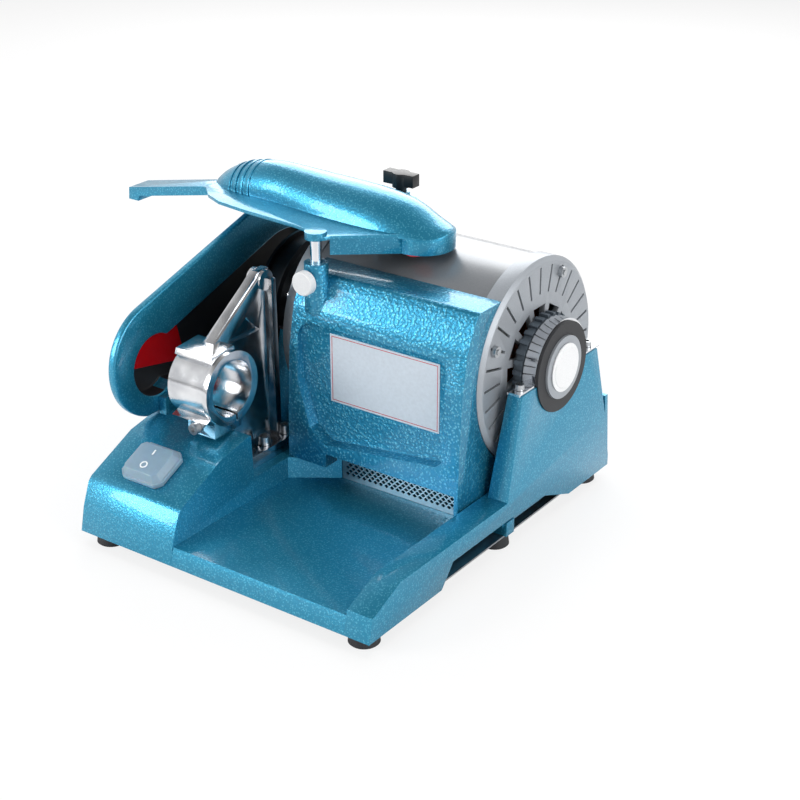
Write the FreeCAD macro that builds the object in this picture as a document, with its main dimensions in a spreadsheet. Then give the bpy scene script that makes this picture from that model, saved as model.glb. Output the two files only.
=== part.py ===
import FreeCAD, Part
import math
import os
import Sketcher

from FreeCAD import Rotation, Vector

# Bench-top dental lathe: a cast base with a tray and a switch console, a resilient-mounted
# motor in two pedestals, a front housing with a suction grille, a belt guard, an open
# spindle bracket and a lamp hood on a post. Origin: middle of the base on the bench.
# +X runs along the motor shaft to the right, +Y to the back, +Z up. Millimetres.

doc = FreeCAD.newDocument("DentalLathe")
sheet = doc.addObject("Spreadsheet::Sheet", "Sizes")

SIZES = {
    # Base casting
    "base_width": 306.8,
    "base_depth": 371.0,
    "skirt_bottom": 12.0,
    "deck_top": 28.0,
    "deck_thickness": 5.0,
    "apron_lean": 4.5,
    "casting_wall": 5.0,
    "rim_width": 24.4,
    "rim_top": 48.0,
    "rim_nose_top": 33.0,
    "rim_rise": 42.0,
    "ledge_top": 48.0,
    "ledge_front": 155.5,
    "ledge_back": 183.0,
    "ledge_width": 142.0,
    "rear_wall_top": 86.0,
    "rear_lean": 7.0,
    "rear_draft": 1.5,
    "rear_setback": 6.0,
    "heel_draft": 2.0,
    "arch_front": 98.0,
    "arch_back": 252.0,
    "arch_slope": 17.0,
    "arch_top": 31.0,
    # Switch console
    "console_width": 102.8,
    "console_nose": 34.0,
    "facet_front": 17.0,
    "facet_low": 58.4,
    "facet_back": 67.5,
    "facet_high": 81.7,
    "console_back": 104.0,
    "console_top": 89.0,
    "console_heel": 107.5,
    "switch_side": 48.9,
    "switch_width": 38.0,
    "switch_height": 32.0,
    "switch_body_height": 24.8,
    "switch_depth": 22.0,
    "bezel_lip": 2.0,
    "bezel_edge": 1.8,
    "rocker_tilt": 8.0,
    "boot_width": 46.0,
    "boot_height": 40.0,
    "boot_rise": 11.0,
    "boot_wall": 1.2,
    "boot_step": 4.5,
    "boot_corner": 6.0,
    "pivot_radius": 1.5,
    # Pedestals that carry the motor
    "pedestal_top": 140.0,
    "pedestal_foot": 21.5,
    "pedestal_head": 14.0,
    "pedestal_front_low": 197.0,
    "pedestal_front_high": 215.0,
    "pedestal_rear_high": 339.0,
    "pedestal_waist": 60.0,
    # Motor
    "motor_back": 277.5,
    "motor_axis": 145.0,
    "motor_side": 128.7,
    "shell_radius": 89.5,
    "shell_wall": 3.0,
    "shell_half": 87.0,
    "bell_radius": 91.0,
    "bell_half": 105.0,
    "bell_wall": 5.0,
    "hub_radius": 28.0,
    "hub_half": 131.8,
    "bearing_radius": 20.0,
    "bearing_width": 12.0,
    "bearing_half": 111.0,
    "journal_radius": 8.5,
    "window_inner": 32.0,
    "window_outer": 50.0,
    "window_count": 12.0,
    "slot_inner": 60.0,
    "slot_outer": 84.0,
    "slot_width": 2.4,
    "slot_count": 28.0,
    "slot_depth": 2.2,
    "core_half": 45.0,
    "core_bore": 46.0,
    "winding_radius": 73.0,
    "winding_half": 68.0,
    "rotor_radius": 45.4,
    "shaft_radius": 12.0,
    "shaft_left": 172.0,
    "shaft_right": 124.0,
    "ring_radius": 40.0,
    "ring_width": 15.0,
    "teeth_radius": 44.0,
    "teeth_width": 8.0,
    "teeth_count": 30.0,
    "strap_thickness": 2.0,
    "strap_width": 12.0,
    "strap_foot": 24.0,
    "cap_radius": 18.5,
    "tie_bolt_circle": 78.0,
    "tie_bolt_turn": 20.0,
    "tie_bolt_radius": 2.5,
    "tie_nut_radius": 4.8,
    # Drive pulley
    "pulley_right": 133.3,
    "pulley_width": 24.0,
    "pulley_radius": 63.0,
    "pulley_track": 58.5,
    "pulley_step": 44.0,
    "flange_width": 3.0,
    # Front housing
    "housing_left": 52.0,
    "housing_right": 127.4,
    "housing_top": 217.0,
    "housing_wall": 4.0,
    "housing_chin": 61.0,
    "housing_face": 159.5,
    "housing_brow": 187.0,
    "housing_waist": 152.0,
    "motor_gap": 1.5,
    "recess_left": 45.0,
    "recess_right": 110.0,
    "recess_top": 176.5,
    "recess_low": 76.0,
    "recess_floor": 172.0,
    "recess_corner": 13.0,
    # Lamp post and its boss
    "post_side": 122.4,
    "post_back": 177.5,
    "post_radius": 5.0,
    "post_top": 256.5,
    "post_low": 176.0,
    "boss_radius": 10.5,
    "boss_top": 230.0,
    "boss_low": 186.0,
    "knob_height": 216.0,
    "knob_radius": 10.5,
    "knob_width": 9.0,
    "knob_stem": 3.0,
    # Suction grille
    "grille_thickness": 1.2,
    "grille_pitch": 6.0,
    "grille_hole": 3.6,
    # Spindle bracket
    "spindle_back": 99.0,
    "spindle_axis": 133.5,
    "spindle_bore": 25.0,
    "clamp_radius": 31.0,
    "clamp_left": 46.8,
    "clamp_length": 45.0,
    "collar_radius": 33.0,
    "collar_width": 5.0,
    "clamp_slit": 2.4,
    "ear_depth": 34.0,
    "ear_height": 12.0,
    "plate_left": 62.0,
    "plate_width": 8.0,
    "rib_width": 24.0,
    "rib_thickness": 7.0,
    "rib_back": 178.5,
    "apex_height": 214.0,
    "apex_depth": 16.0,
    "foot_left": 50.0,
    "foot_width": 43.0,
    "foot_front": 116.0,
    "foot_back": 188.5,
    "foot_thickness": 11.5,
    "bolt_radius": 3.0,
    "bolt_head": 5.0,
    "bolt_front": 147.0,
    "bolt_back": 176.0,
    "bolt_inset": 9.0,
    "tension_travel": 4.0,
    # Belt guard
    "guard_face": 147.0,
    "guard_plate": 7.5,
    "guard_nose": 53.0,
    "guard_nose_rise": 6.5,
    "guard_tail": 100.0,
    "guard_hole": 28.0,
    "guard_step": 10.0,
    "guard_window": 61.0,
    "guard_wall": 3.5,
    "guard_pan": 12.0,
    "upright_wall": 8.0,
    "upright_top": 104.0,
    "upright_front": 97.5,
    # Lamp hood
    "hood_back": 248.0,
    "hood_height": 251.3,
    "hood_nose_side": 183.4,
    "hood_length": 228.0,
    "hood_shell": 2.5,
    "dome_width": 69.0,
    "dome_height": 31.5,
    "brim_front": 61.0,
    "brim_rear": 60.0,
    "brim_thickness": 3.0,
    "nose_radius": 28.0,
    "rib_inset": 27.0,
    "hood_rib_pitch": 8.0,
    "hood_rib_width": 3.5,
    "hood_rib_rise": 1.2,
    "hood_rib_count": 4.0,
    "lamp_box_depth": 14.2,
    "lamp_box_left": 50.0,
    "lamp_box_front": 65.5,
    "lamp_box_rear": 48.0,
    "handle_length": 92.0,
    "handle_width": 26.0,
    "handle_shift": 12.0,
    "handle_drop": 16.6,
    "handle_thickness": 8.5,
    "handle_lip": 11.5,
    "lobe_radius": 9.5,
    "lobe_height": 6.5,
    "wing_knob_back": 47.5,
    "wing_knob_side": 57.0,
    "wing_knob_width": 32.0,
    "wing_knob_height": 17.0,
    "reflector_radius": 16.6,
    "reflector_height": 9.3,
    "reflector_left": 150.0,
    "reflector_right": 60.0,
    "lamp_radius": 8.0,
    "lamp_length": 70.0,
    "socket_radius": 11.0,
    "socket_length": 24.0,
    "socket_right": 20.0,
    "lamp_switch_side": 3.0,
    "lamp_switch_front": 16.5,
    "lamp_switch_radius": 8.0,
    "lamp_switch_proud": 2.2,
    # Feet, covers and services
    "foot_radius": 13.0,
    "foot_height": 11.7,
    "foot_inset": 18.0,
    "foot_boss": 6.0,
    "cover_thickness": 1.5,
    "outlet_radius": 19.0,
    "outlet_wall": 2.0,
    "outlet_length": 32.0,
    "outlet_side": 203.0,
    "outlet_height": 56.0,
    "inlet_width": 27.0,
    "inlet_height": 19.5,
    "inlet_depth": 24.0,
    "inlet_side": 62.0,
    "inlet_axis": 30.0,
    "inlet_flange": 2.0,
    "capacitor_radius": 14.0,
    "capacitor_length": 66.0,
    # Clearances
    "seat_gap": 0.3,
    "sliding_gap": 0.1,
}

for row, (alias, number) in enumerate(SIZES.items(), start=1):
    sheet.set("A%d" % row, alias)
    sheet.set("B%d" % row, str(number))
    sheet.setAlias("B%d" % row, alias)
doc.recompute()


class Term:
    """A length with its value now and the sheet formula that drives it."""

    def __init__(self, value, text):
        self.value = float(value)
        self.text = text

    def join(self, other, sign, value, swap=False):
        first, second = (other, self) if swap else (self, other)
        return Term(value, "(%s %s %s)" % (first.text, sign, second.text))

    def __add__(self, other):
        other = as_term(other)
        return self.join(other, "+", self.value + other.value)

    def __sub__(self, other):
        other = as_term(other)
        return self.join(other, "-", self.value - other.value)

    def __mul__(self, other):
        other = as_term(other)
        return self.join(other, "*", self.value * other.value)

    def __truediv__(self, other):
        other = as_term(other)
        return self.join(other, "/", self.value / other.value)

    def __rsub__(self, other):
        other = as_term(other)
        return self.join(other, "-", other.value - self.value, swap=True)

    def __neg__(self):
        return Term(-self.value, "(0 - %s)" % self.text)

    __radd__ = __add__
    __rmul__ = __mul__


def as_term(number):
    return number if isinstance(number, Term) else Term(number, "%.6f" % number)


def size(alias):
    return Term(SIZES[alias], "Sizes." + alias)


def root(term):
    return Term(math.sqrt(term.value), "sqrt(%s)" % term.text)


def sine(degrees):
    return Term(math.sin(math.radians(degrees.value)), "sin(%s)" % degrees.text)


def cosine(degrees):
    return Term(math.cos(math.radians(degrees.value)), "cos(%s)" % degrees.text)


def slope_angle(rise, run):
    return Term(math.degrees(math.atan2(rise.value, run.value)), "atan(%s / %s)" % (rise.text, run.text))


def bind(item, prop, term):
    item.setExpression(prop, as_term(term).text)


def place(item, x=0.0, y=0.0, z=0.0, turn=None):
    """Put a sub-part at a place given by terms, after an optional fixed turn."""
    if turn is not None:
        item.Placement.Rotation = turn
    for axis, term in (("x", x), ("y", y), ("z", z)):
        bind(item, ".Placement.Base." + axis, term)
    return item


# Feature helpers

TURN_BACK = Rotation(Vector(1, 0, 0), -90)
HALF_TURN = Rotation(Vector(0, 0, 1), 180)


def new_body(label):
    body = doc.addObject("PartDesign::Body", label)
    body.Label = label
    return body


def origin_feature(body, role):
    for feature in body.Origin.OriginFeatures:
        if feature.Role == role:
            return feature
    raise RuntimeError("no %s in %s" % (role, body.Label))


def arc_geometry(start, end, radius, left):
    """Minor arc from start to end; left says which side of the chord the centre lies on."""
    chord = end - start
    half = chord.Length / 2
    height = math.sqrt(max(radius * radius - half * half, 0.0))
    normal = Vector(-chord.y, chord.x, 0).normalize()
    centre = (start + end) / 2 + normal * (height if left else -height)
    circle = Part.Circle(centre, Vector(0, 0, 1), radius)
    first = math.atan2(start.y - centre.y, start.x - centre.x)
    last = math.atan2(end.y - centre.y, end.x - centre.x)
    if left:
        return Part.ArcOfCircle(circle, first, last), (1, 2)
    return Part.ArcOfCircle(circle, last, first), (2, 1)


def draw_loop(sketch, points, arcs):
    """Closed outline through points; arcs maps a side's index to (radius, centre on left)."""
    places = [Vector(as_term(x).value, as_term(y).value, 0) for x, y in points]
    count = len(points)
    first = sketch.GeometryCount
    ends = []
    for index in range(count):
        start = places[index]
        end = places[(index + 1) % count]
        if index in arcs:
            radius, left = arcs[index]
            curve, pair = arc_geometry(start, end, as_term(radius).value, left)
        else:
            curve = Part.LineSegment(start, end)
            pair = (1, 2)
        sketch.addGeometry(curve, False)
        ends.append(pair)
    for index in range(count):
        after = (index + 1) % count
        sketch.addConstraint(Sketcher.Constraint(
            "Coincident", first + index, ends[index][1], first + after, ends[after][0]))
    for index, (x, y) in enumerate(points):
        for kind, term in (("DistanceX", as_term(x)), ("DistanceY", as_term(y))):
            constraint = Sketcher.Constraint(kind, -1, 1, first + index, ends[index][0], term.value)
            number = sketch.addConstraint(constraint)
            sketch.setExpression("Constraints[%d]" % number, term.text)
    for index, (radius, left) in arcs.items():
        number = sketch.addConstraint(
            Sketcher.Constraint("Radius", first + index, as_term(radius).value))
        sketch.setExpression("Constraints[%d]" % number, as_term(radius).text)


def draw_circle(sketch, x, y, radius):
    x, y, radius = as_term(x), as_term(y), as_term(radius)
    circle = Part.Circle(Vector(x.value, y.value, 0), Vector(0, 0, 1), radius.value)
    index = sketch.addGeometry(circle, False)
    for kind, term in (("DistanceX", x), ("DistanceY", y)):
        number = sketch.addConstraint(Sketcher.Constraint(kind, -1, 1, index, 3, term.value))
        sketch.setExpression("Constraints[%d]" % number, term.text)
    number = sketch.addConstraint(Sketcher.Constraint("Radius", index, radius.value))
    sketch.setExpression("Constraints[%d]" % number, radius.text)


def new_sketch(body, name, plane, offset=None):
    sketch = body.newObject("Sketcher::SketchObject", name)
    sketch.AttachmentSupport = [(origin_feature(body, plane + "_Plane"), "")]
    sketch.MapMode = "FlatFace"
    if offset is not None:
        bind(sketch, ".AttachmentOffset.Base.z", offset)
    return sketch


def fill_sketch(sketch, shapes):
    """Each shape is ("circle", x, y, radius) or a list of points, with optional arcs."""
    for shape in shapes:
        if shape[0] == "circle":
            draw_circle(sketch, *shape[1:])
        elif shape[0] == "arcs":
            draw_loop(sketch, shape[1], shape[2])
        else:
            draw_loop(sketch, shape, {})


def slab(body, name, plane, low, high, *shapes):
    """Pad shapes between two planes along the axis that the plane leaves."""
    low, high = as_term(low), as_term(high)
    offset = -high if plane == "XZ" else low
    sketch = new_sketch(body, name + "Sketch", plane, offset)
    fill_sketch(sketch, shapes)
    pad = body.newObject("PartDesign::Pad", name)
    pad.Profile = sketch
    bind(pad, "Length", high - low)
    doc.recompute()
    return pad


def cut(body, name, plane, low, high, *shapes):
    """Pocket shapes between two planes and make sure that something was removed."""
    low, high = as_term(low), as_term(high)
    before = body.Shape.Volume
    offset = -high if plane == "XZ" else low
    sketch = new_sketch(body, name + "Sketch", plane, offset)
    fill_sketch(sketch, shapes)
    pocket = body.newObject("PartDesign::Pocket", name)
    pocket.Profile = sketch
    pocket.Reversed = True
    bind(pocket, "Length", high - low)
    doc.recompute()
    if not body.Shape.Volume < before:
        raise RuntimeError("%s cuts nothing from %s" % (name, body.Label))
    return pocket


def turned(body, name, plane, *shapes, axis="H", lift=None, remove=False):
    """Revolve shapes about an axis of their sketch, to add or to remove material."""
    sketch = new_sketch(body, name + "Sketch", plane)
    if lift is not None:
        bind(sketch, ".AttachmentOffset.Base.y", lift)
    fill_sketch(sketch, shapes)
    ring = body.newObject("PartDesign::Groove" if remove else "PartDesign::Revolution", name)
    ring.Profile = sketch
    ring.ReferenceAxis = (sketch, [axis + "_Axis"])
    ring.Angle = 360
    doc.recompute()
    return ring


def lofted(body, name, low, low_points, high, high_points, remove=False):
    """Ruled solid between two outlines in horizontal planes."""
    sketches = []
    for label, height, points in (("Low", low, low_points), ("High", high, high_points)):
        sketch = new_sketch(body, name + label, "XY", as_term(height))
        fill_sketch(sketch, [points])
        sketches.append(sketch)
    loft = body.newObject("PartDesign::SubtractiveLoft" if remove else "PartDesign::AdditiveLoft", name)
    loft.Profile = sketches[0]
    loft.Sections = [sketches[1]]
    loft.Ruled = True
    doc.recompute()
    return loft


def repeated(body, name, feature, axis, count):
    """Copy a feature round an axis of the body."""
    pattern = body.newObject("PartDesign::PolarPattern", name)
    pattern.Originals = [feature]
    pattern.Axis = (origin_feature(body, axis + "_Axis"), [""])
    pattern.Angle = 360
    bind(pattern, "Occurrences", count)
    body.Tip = pattern
    doc.recompute()
    return pattern


def edges_along(feature, axis, spots):
    """Names of straight edges that run along an axis through the given spots."""
    others = [index for index in range(3) if index != "XYZ".index(axis)]
    names = []
    for number, edge in enumerate(feature.Shape.Edges, start=1):
        if edge.Curve.TypeId != "Part::GeomLine":
            continue
        ends = [vertex.Point for vertex in edge.Vertexes]
        for spot in spots:
            target = [as_term(term).value for term in spot]
            if all(abs(end[others[k]] - target[k]) < 0.01 for end in ends for k in (0, 1)):
                names.append("Edge%d" % number)
    return names


def fillet(body, name, names, radius):
    base = body.Tip
    if not names:
        raise RuntimeError("%s finds no edge in %s" % (name, body.Label))
    item = body.newObject("PartDesign::Fillet", name)
    item.Base = (base, names)
    bind(item, "Radius", radius)
    doc.recompute()
    return item


def cylinder(label, radius, length, x, y, z, turn=None):
    item = doc.addObject("Part::Cylinder", label)
    item.Label = label
    bind(item, "Radius", radius)
    bind(item, "Height", length)
    return place(item, x, y, z, turn)


def box(label, length, width, height, x, y, z, turn=None):
    item = doc.addObject("Part::Box", label)
    item.Label = label
    bind(item, "Length", length)
    bind(item, "Width", width)
    bind(item, "Height", height)
    return place(item, x, y, z, turn)


def joined(label, *items):
    fuse = doc.addObject("Part::MultiFuse", label)
    fuse.Label = label
    fuse.Shapes = list(items)
    fuse.Refine = True
    return fuse


def taken(label, base, tool):
    item = doc.addObject("Part::Cut", label)
    item.Label = label
    item.Base = base
    item.Tool = tool
    return item


# Shared places, all from the sheet

half_width = size("base_width") / 2
half_depth = size("base_depth") / 2
wall = size("casting_wall")
rim_inner = half_width - size("rim_width")
console_wall = size("console_width") - half_width
ledge_front = size("ledge_front") - half_depth
ledge_back = size("ledge_back") - half_depth
ledge_wall = size("ledge_width") - half_width
motor_y = size("motor_back") - half_depth
motor_z = size("motor_axis")
motor_x = half_width - size("motor_side")
spindle_y = size("spindle_back") - half_depth
spindle_z = size("spindle_axis")
skirt = size("skirt_bottom")
deck = size("deck_top")
gap = size("seat_gap")
parts = []


def add(item):
    parts.append(item)
    return item


# Base casting: deck with a leaning apron, right rim, switch console, left ledge with its
# chamfered corner, rear wall, two pedestals with bored cradles and an upright for the guard

def pedestal(body, name, inner_low, inner_high, outer):
    """Tapered leg between its inner and outer faces, sloped at the front and the back."""
    low = deck
    high = size("pedestal_top")
    profile = [(inner_low, low), (outer, low), (outer, high), (inner_high, high)]
    front_low = size("pedestal_front_low") - half_depth
    front_high = size("pedestal_front_high") - half_depth
    rear = size("base_depth") - half_depth
    rear_high = size("pedestal_rear_high") - half_depth
    waist = size("pedestal_waist")
    slab(body, name, "XZ", front_low, rear, profile)
    side_low = min(inner_low.value, outer.value)
    low_x, high_x = (inner_low, outer) if side_low == inner_low.value else (outer, inner_low)
    cut(body, name + "Front", "YZ", low_x - 1, high_x + 1,
        [(front_low - 1, size("rim_top")), (front_low, size("rim_top")),
         (front_high, high), (front_high, high + 1), (front_low - 1, high + 1)])
    cut(body, name + "Rear", "YZ", low_x - 1, high_x + 1,
        [(rear + 1, deck - 1), (rear + 1, high + 1), (rear_high, high + 1), (rear_high, high),
         (rear - 8, waist), (rear - size("rear_draft"), deck), (rear - size("rear_draft"), deck - 1)])


def base_casting():
    body = new_body("base_casting")
    front = -half_depth
    lean = size("apron_lean")
    width = size("base_width")
    right_inner = half_width - size("pedestal_foot")
    right_head = half_width - size("pedestal_head")
    left_outer = motor_x * 2 - half_width
    left_inner = left_outer + size("pedestal_foot")
    left_head = left_outer + size("pedestal_head")
    pedestal(body, "RightPedestal", right_inner, right_head, half_width)
    pedestal(body, "LeftPedestal", left_inner, left_head, left_outer)

    rear = half_depth - size("rear_draft")
    ledge_rear = half_depth - size("rear_setback")
    slab(body, "Deck", "YZ", -half_width, half_width,
         [(front, skirt), (half_depth, skirt), (half_depth, skirt + 10),
          (rear, deck), (front + lean, deck)])
    slab(body, "Rim", "YZ", rim_inner, half_width,
         [(front, skirt), (rear, skirt), (rear, deck), (ledge_rear, size("rim_top")),
          (front + size("rim_rise"), size("rim_top")), (front + lean + 0.5, size("rim_nose_top"))])
    heel = front + size("console_heel")
    heel_foot = heel + size("heel_draft")
    facet = [(front, skirt), (front + lean + 0.5, size("console_nose")),
             (front + size("facet_front") - 4, size("facet_low") - 4),
             (front + size("facet_front"), size("facet_low")),
             (front + size("facet_back"), size("facet_high")),
             (front + size("console_back"), size("console_top")),
             (heel, size("console_top")), (heel_foot, size("ledge_top")), (heel_foot, skirt)]
    slab(body, "Console", "YZ", -half_width, console_wall, facet)
    slab(body, "Ledge", "XY", skirt, size("ledge_top"),
         [(-half_width, heel), (console_wall, heel), (console_wall, ledge_front),
          (ledge_wall, ledge_back), (ledge_wall, ledge_rear), (-half_width, ledge_rear)])
    lean_back = size("rear_lean")
    slab(body, "RearWall", "YZ", -half_width, half_width,
         [(rear, deck), (half_depth - lean_back, size("rear_wall_top")),
          (half_depth - lean_back - wall, size("rear_wall_top")),
          (rear - wall, deck), (rear - wall, deck - 2), (rear, deck - 2)])
    upright_left = gap - size("guard_face")
    upright_right = upright_left + size("upright_wall")
    slab(body, "Upright", "YZ", upright_left, upright_right,
         [(size("upright_front") - half_depth, size("ledge_top") - 2),
          (size("upright_front") - half_depth, size("upright_top")),
          (half_depth - 34, size("upright_top")), (half_depth - 12, size("ledge_top")),
          (half_depth - 12, size("ledge_top") - 2)])

    # Hollow underside: under the deck, under the rim, and inside the console and the ledge
    cut(body, "DeckHollow", "XY", skirt - 1, deck - size("deck_thickness"),
        [(wall - half_width, front + wall + 1), (half_width - wall, front + wall + 1),
         (half_width - wall, half_depth - wall - 2), (wall - half_width, half_depth - wall - 2)])
    cut(body, "RimHollow", "XY", deck - size("deck_thickness") - 1, size("rim_top") - wall,
        [(rim_inner + wall, front + size("rim_rise")), (half_width - wall, front + size("rim_rise")),
         (half_width - wall, size("pedestal_front_low") - half_depth),
         (rim_inner + wall, size("pedestal_front_low") - half_depth)])
    inside = [(front + wall + lean, skirt - 1), (front + wall + lean, size("console_nose")),
              (front + size("facet_front") + wall, size("facet_low") - wall),
              (front + size("facet_back"), size("facet_high") - wall),
              (heel - wall, size("console_top") - wall - 2), (heel - wall, size("ledge_top") - wall),
              (half_depth - wall - 8, size("ledge_top") - wall), (half_depth - wall - 8, skirt - 1)]
    cut(body, "ConsoleHollow", "YZ", wall - half_width, console_wall - wall, inside)

    # Openings: switch, inlet, dust outlet, arches between the feet, cradles for the motor
    cut(body, "SwitchWindow", "XY", deck, size("console_top") + 1,
        [(switch_x - size("switch_width") / 2 - gap, switch_y - switch_run - gap),
         (switch_x + size("switch_width") / 2 + gap, switch_y - switch_run - gap),
         (switch_x + size("switch_width") / 2 + gap, switch_y + switch_run + gap),
         (switch_x - size("switch_width") / 2 - gap, switch_y + switch_run + gap)])
    inlet_x = size("inlet_side") - half_width
    inlet_half = size("inlet_width") / 2 + gap
    seat = inlet_half + 5
    boss_low = skirt + size("cover_thickness") + gap
    slab(body, "InletSeat", "XZ", half_depth - 12, half_depth,
         [(inlet_x - seat, boss_low), (inlet_x + seat, boss_low),
          (inlet_x + seat, size("ledge_top")), (inlet_x - seat, size("ledge_top"))])
    cut(body, "InletWindow", "XZ", half_depth - 30, half_depth + 1,
        [(inlet_x - inlet_half, size("inlet_axis") - size("inlet_height") / 2 - gap),
         (inlet_x + inlet_half, size("inlet_axis") - size("inlet_height") / 2 - gap),
         (inlet_x + inlet_half, size("inlet_axis") + size("inlet_height") / 2 + gap),
         (inlet_x - inlet_half, size("inlet_axis") + size("inlet_height") / 2 + gap)])
    outlet_x = size("outlet_side") - half_width
    slab(body, "OutletSeat", "XZ", half_depth - 9, half_depth - 2,
         ("circle", outlet_x, size("outlet_height"), size("outlet_radius") + 6))
    cut(body, "OutletBore", "XZ", half_depth - 30, half_depth + 1,
        ("circle", outlet_x, size("outlet_height"), size("outlet_radius") + gap))
    arch = [(size("arch_front") - half_depth, skirt - 1),
            (size("arch_front") - half_depth + size("arch_slope"), size("arch_top")),
            (size("arch_back") - half_depth, size("arch_top")),
            (size("arch_back") - half_depth + size("arch_slope") * 3, skirt - 1)]
    cut(body, "RightArch", "YZ", half_width - wall, half_width + 1, arch)
    cut(body, "LeftArch", "YZ", -half_width - 1, wall - half_width, arch)
    cut(body, "CradleBore", "YZ", left_outer - 1, half_width + 1,
        ("circle", motor_y, motor_z, size("ring_radius") + gap))
    teeth_right = motor_x + teeth_start + size("teeth_width") + gap
    teeth_left = motor_x - teeth_start - size("teeth_width") - gap
    cut(body, "CradleStep", "YZ", teeth_left, teeth_right,
        ("circle", motor_y, motor_z, size("teeth_radius") + gap))

    # Bosses under the deck that take the feet and the bottom cover
    reach = size("foot_inset") - 2
    for number, (x, y) in enumerate(foot_places(), start=1):
        outer = x + reach if x.value > 0 else x - reach
        inner = x - boss if x.value > 0 else x + boss
        under_ledge = x.value < 0 and y.value > heel.value
        high = size("ledge_top") - wall + 1 if under_ledge else deck - 1
        slab(body, "FootBoss%d" % number, "XY", boss_low, high,
             [(outer, y - boss), (inner, y - boss), (inner, y + boss), (outer, y + boss)])
    return body


def foot_places():
    inset = size("foot_inset")
    spots = []
    for side in (-1, 1):
        x = (half_width - inset) * side
        for y in (inset - half_depth, as_term(20), half_depth - inset):
            spots.append((x, y))
    return spots


switch_x = size("switch_side") - half_width
switch_y = (size("facet_front") + size("facet_back")) / 2 - half_depth
facet_angle = slope_angle(size("facet_high") - size("facet_low"),
                          size("facet_back") - size("facet_front"))
switch_run = size("switch_height") / 2 * cosine(facet_angle)
teeth_start = size("bell_half") + 1.5
boss = size("foot_boss")

add(base_casting())


# Motor: pieces turned about its axis, modelled from the middle of the motor outwards

def motor_piece(body, mirrored=False):
    place(body, motor_x, motor_y, motor_z, HALF_TURN if mirrored else None)
    return add(body)


def ring_profile(left, right, inner, outer):
    return [(left, inner), (right, inner), (right, outer), (left, outer)]


def turned_ring(label, left, right, inner, outer, mirrored=False):
    body = new_body(label)
    turned(body, "Ring", "XY", ring_profile(left, right, inner, outer))
    return motor_piece(body, mirrored)


def motor_shell():
    half = size("shell_half")
    inner = size("shell_radius") - size("shell_wall")
    body = new_body("motor_shell")
    turned(body, "Tube", "XY", ring_profile(-half, half, inner, size("shell_radius")))
    return motor_piece(body)


def bolt_angle(index):
    degrees = 45.0 + 90.0 * index
    return size("tie_bolt_turn") + Term(degrees, "%.1f" % degrees)


def bolt_holes(body, low, high, mirrored=False):
    """Clearance holes for the four tie bolts."""
    circle = size("tie_bolt_circle")
    side = -1 if mirrored else 1
    holes = [("circle", circle * cosine(bolt_angle(index)) * side, circle * sine(bolt_angle(index)),
              size("tie_bolt_radius") + gap) for index in range(4)]
    cut(body, "BoltHoles", "YZ", low, high, *holes)


def motor_bell(label, mirrored):
    """End bell: rim, slotted face, windowed cone and the hub that holds the bearing."""
    face = size("bell_half")
    start = size("shell_half") + gap
    hub = size("hub_half")
    radius = size("bell_radius")
    bell_wall = size("bell_wall")
    bore = size("bearing_radius") + size("sliding_gap") / 5
    body = new_body(label)
    shell_inner = size("shell_radius") - size("shell_wall") - size("sliding_gap")
    bearing_in = size("bearing_half")
    bearing_out = bearing_in + size("bearing_width")
    outline = [(start, radius), (start, shell_inner), (start - 4, shell_inner),
               (start - 4, shell_inner - 3), (start, shell_inner - 3),
               (face - bell_wall, radius - 12), (face - bell_wall, size("hub_radius") + 3),
               (face - bell_wall, bore - 4), (bearing_in, bore - 4), (bearing_in, bore),
               (bearing_out + gap, bore), (hub, bore),
               (hub, size("hub_radius")), (face + 1, size("hub_radius")), (face, size("hub_radius") + 1),
               (face, radius - 4), (face - 3, radius)]
    turned(body, "Bell", "XY", outline)
    half_step = Term(180.0, "180") / size("window_count")
    open_half = half_step - 5
    inner = size("window_inner")
    outer = size("window_outer")
    window = cut(body, "Window", "YZ", face - bell_wall - 1, face + 2,
                 ("arcs", [(inner * sine(-open_half), inner * cosine(open_half)),
                           (inner * sine(open_half), inner * cosine(open_half)),
                           (outer * sine(open_half + 1), outer * cosine(open_half + 1)),
                           (outer * sine(-open_half - 1), outer * cosine(open_half + 1))], {}))
    repeated(body, "Windows", window, "X", size("window_count"))
    slot_half = size("slot_width") / 2
    slot = cut(body, "Slot", "YZ", face - size("slot_depth"), face + 1,
               [(-slot_half, size("slot_inner")), (slot_half, size("slot_inner")),
                (slot_half, size("slot_outer")), (-slot_half, size("slot_outer"))])
    repeated(body, "Slots", slot, "X", size("slot_count"))
    bolt_holes(body, start - 5, face + 1, mirrored)
    return motor_piece(body, mirrored)


def mount_teeth(label, mirrored):
    """Toothed collar of the resilient mount, between the bell and the pedestal."""
    left = teeth_start
    right = left + size("teeth_width")
    body = new_body(label)
    inner = size("hub_radius") + size("sliding_gap")
    turned(body, "Collar", "XY", ring_profile(left, right, inner, size("teeth_radius") - 2.5))
    pitch = Term(180.0, "180") / size("teeth_count") / 2
    low = size("teeth_radius") - 4
    high = size("teeth_radius")
    tooth = slab(body, "Tooth", "YZ", left, right,
                 [(low * sine(-pitch), low * cosine(pitch)), (low * sine(pitch), low * cosine(pitch)),
                  (high * sine(pitch * 0.8), high * cosine(pitch * 0.8)),
                  (high * sine(pitch * -0.8), high * cosine(pitch * 0.8))])
    repeated(body, "Teeth", tooth, "X", size("teeth_count"))
    return motor_piece(body, mirrored)


def rubber_ring(label, mirrored):
    start = teeth_start + size("teeth_width") + gap
    return turned_ring(label, start, start + size("ring_width"),
                       size("hub_radius") + size("sliding_gap"), size("ring_radius"), mirrored)


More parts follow.
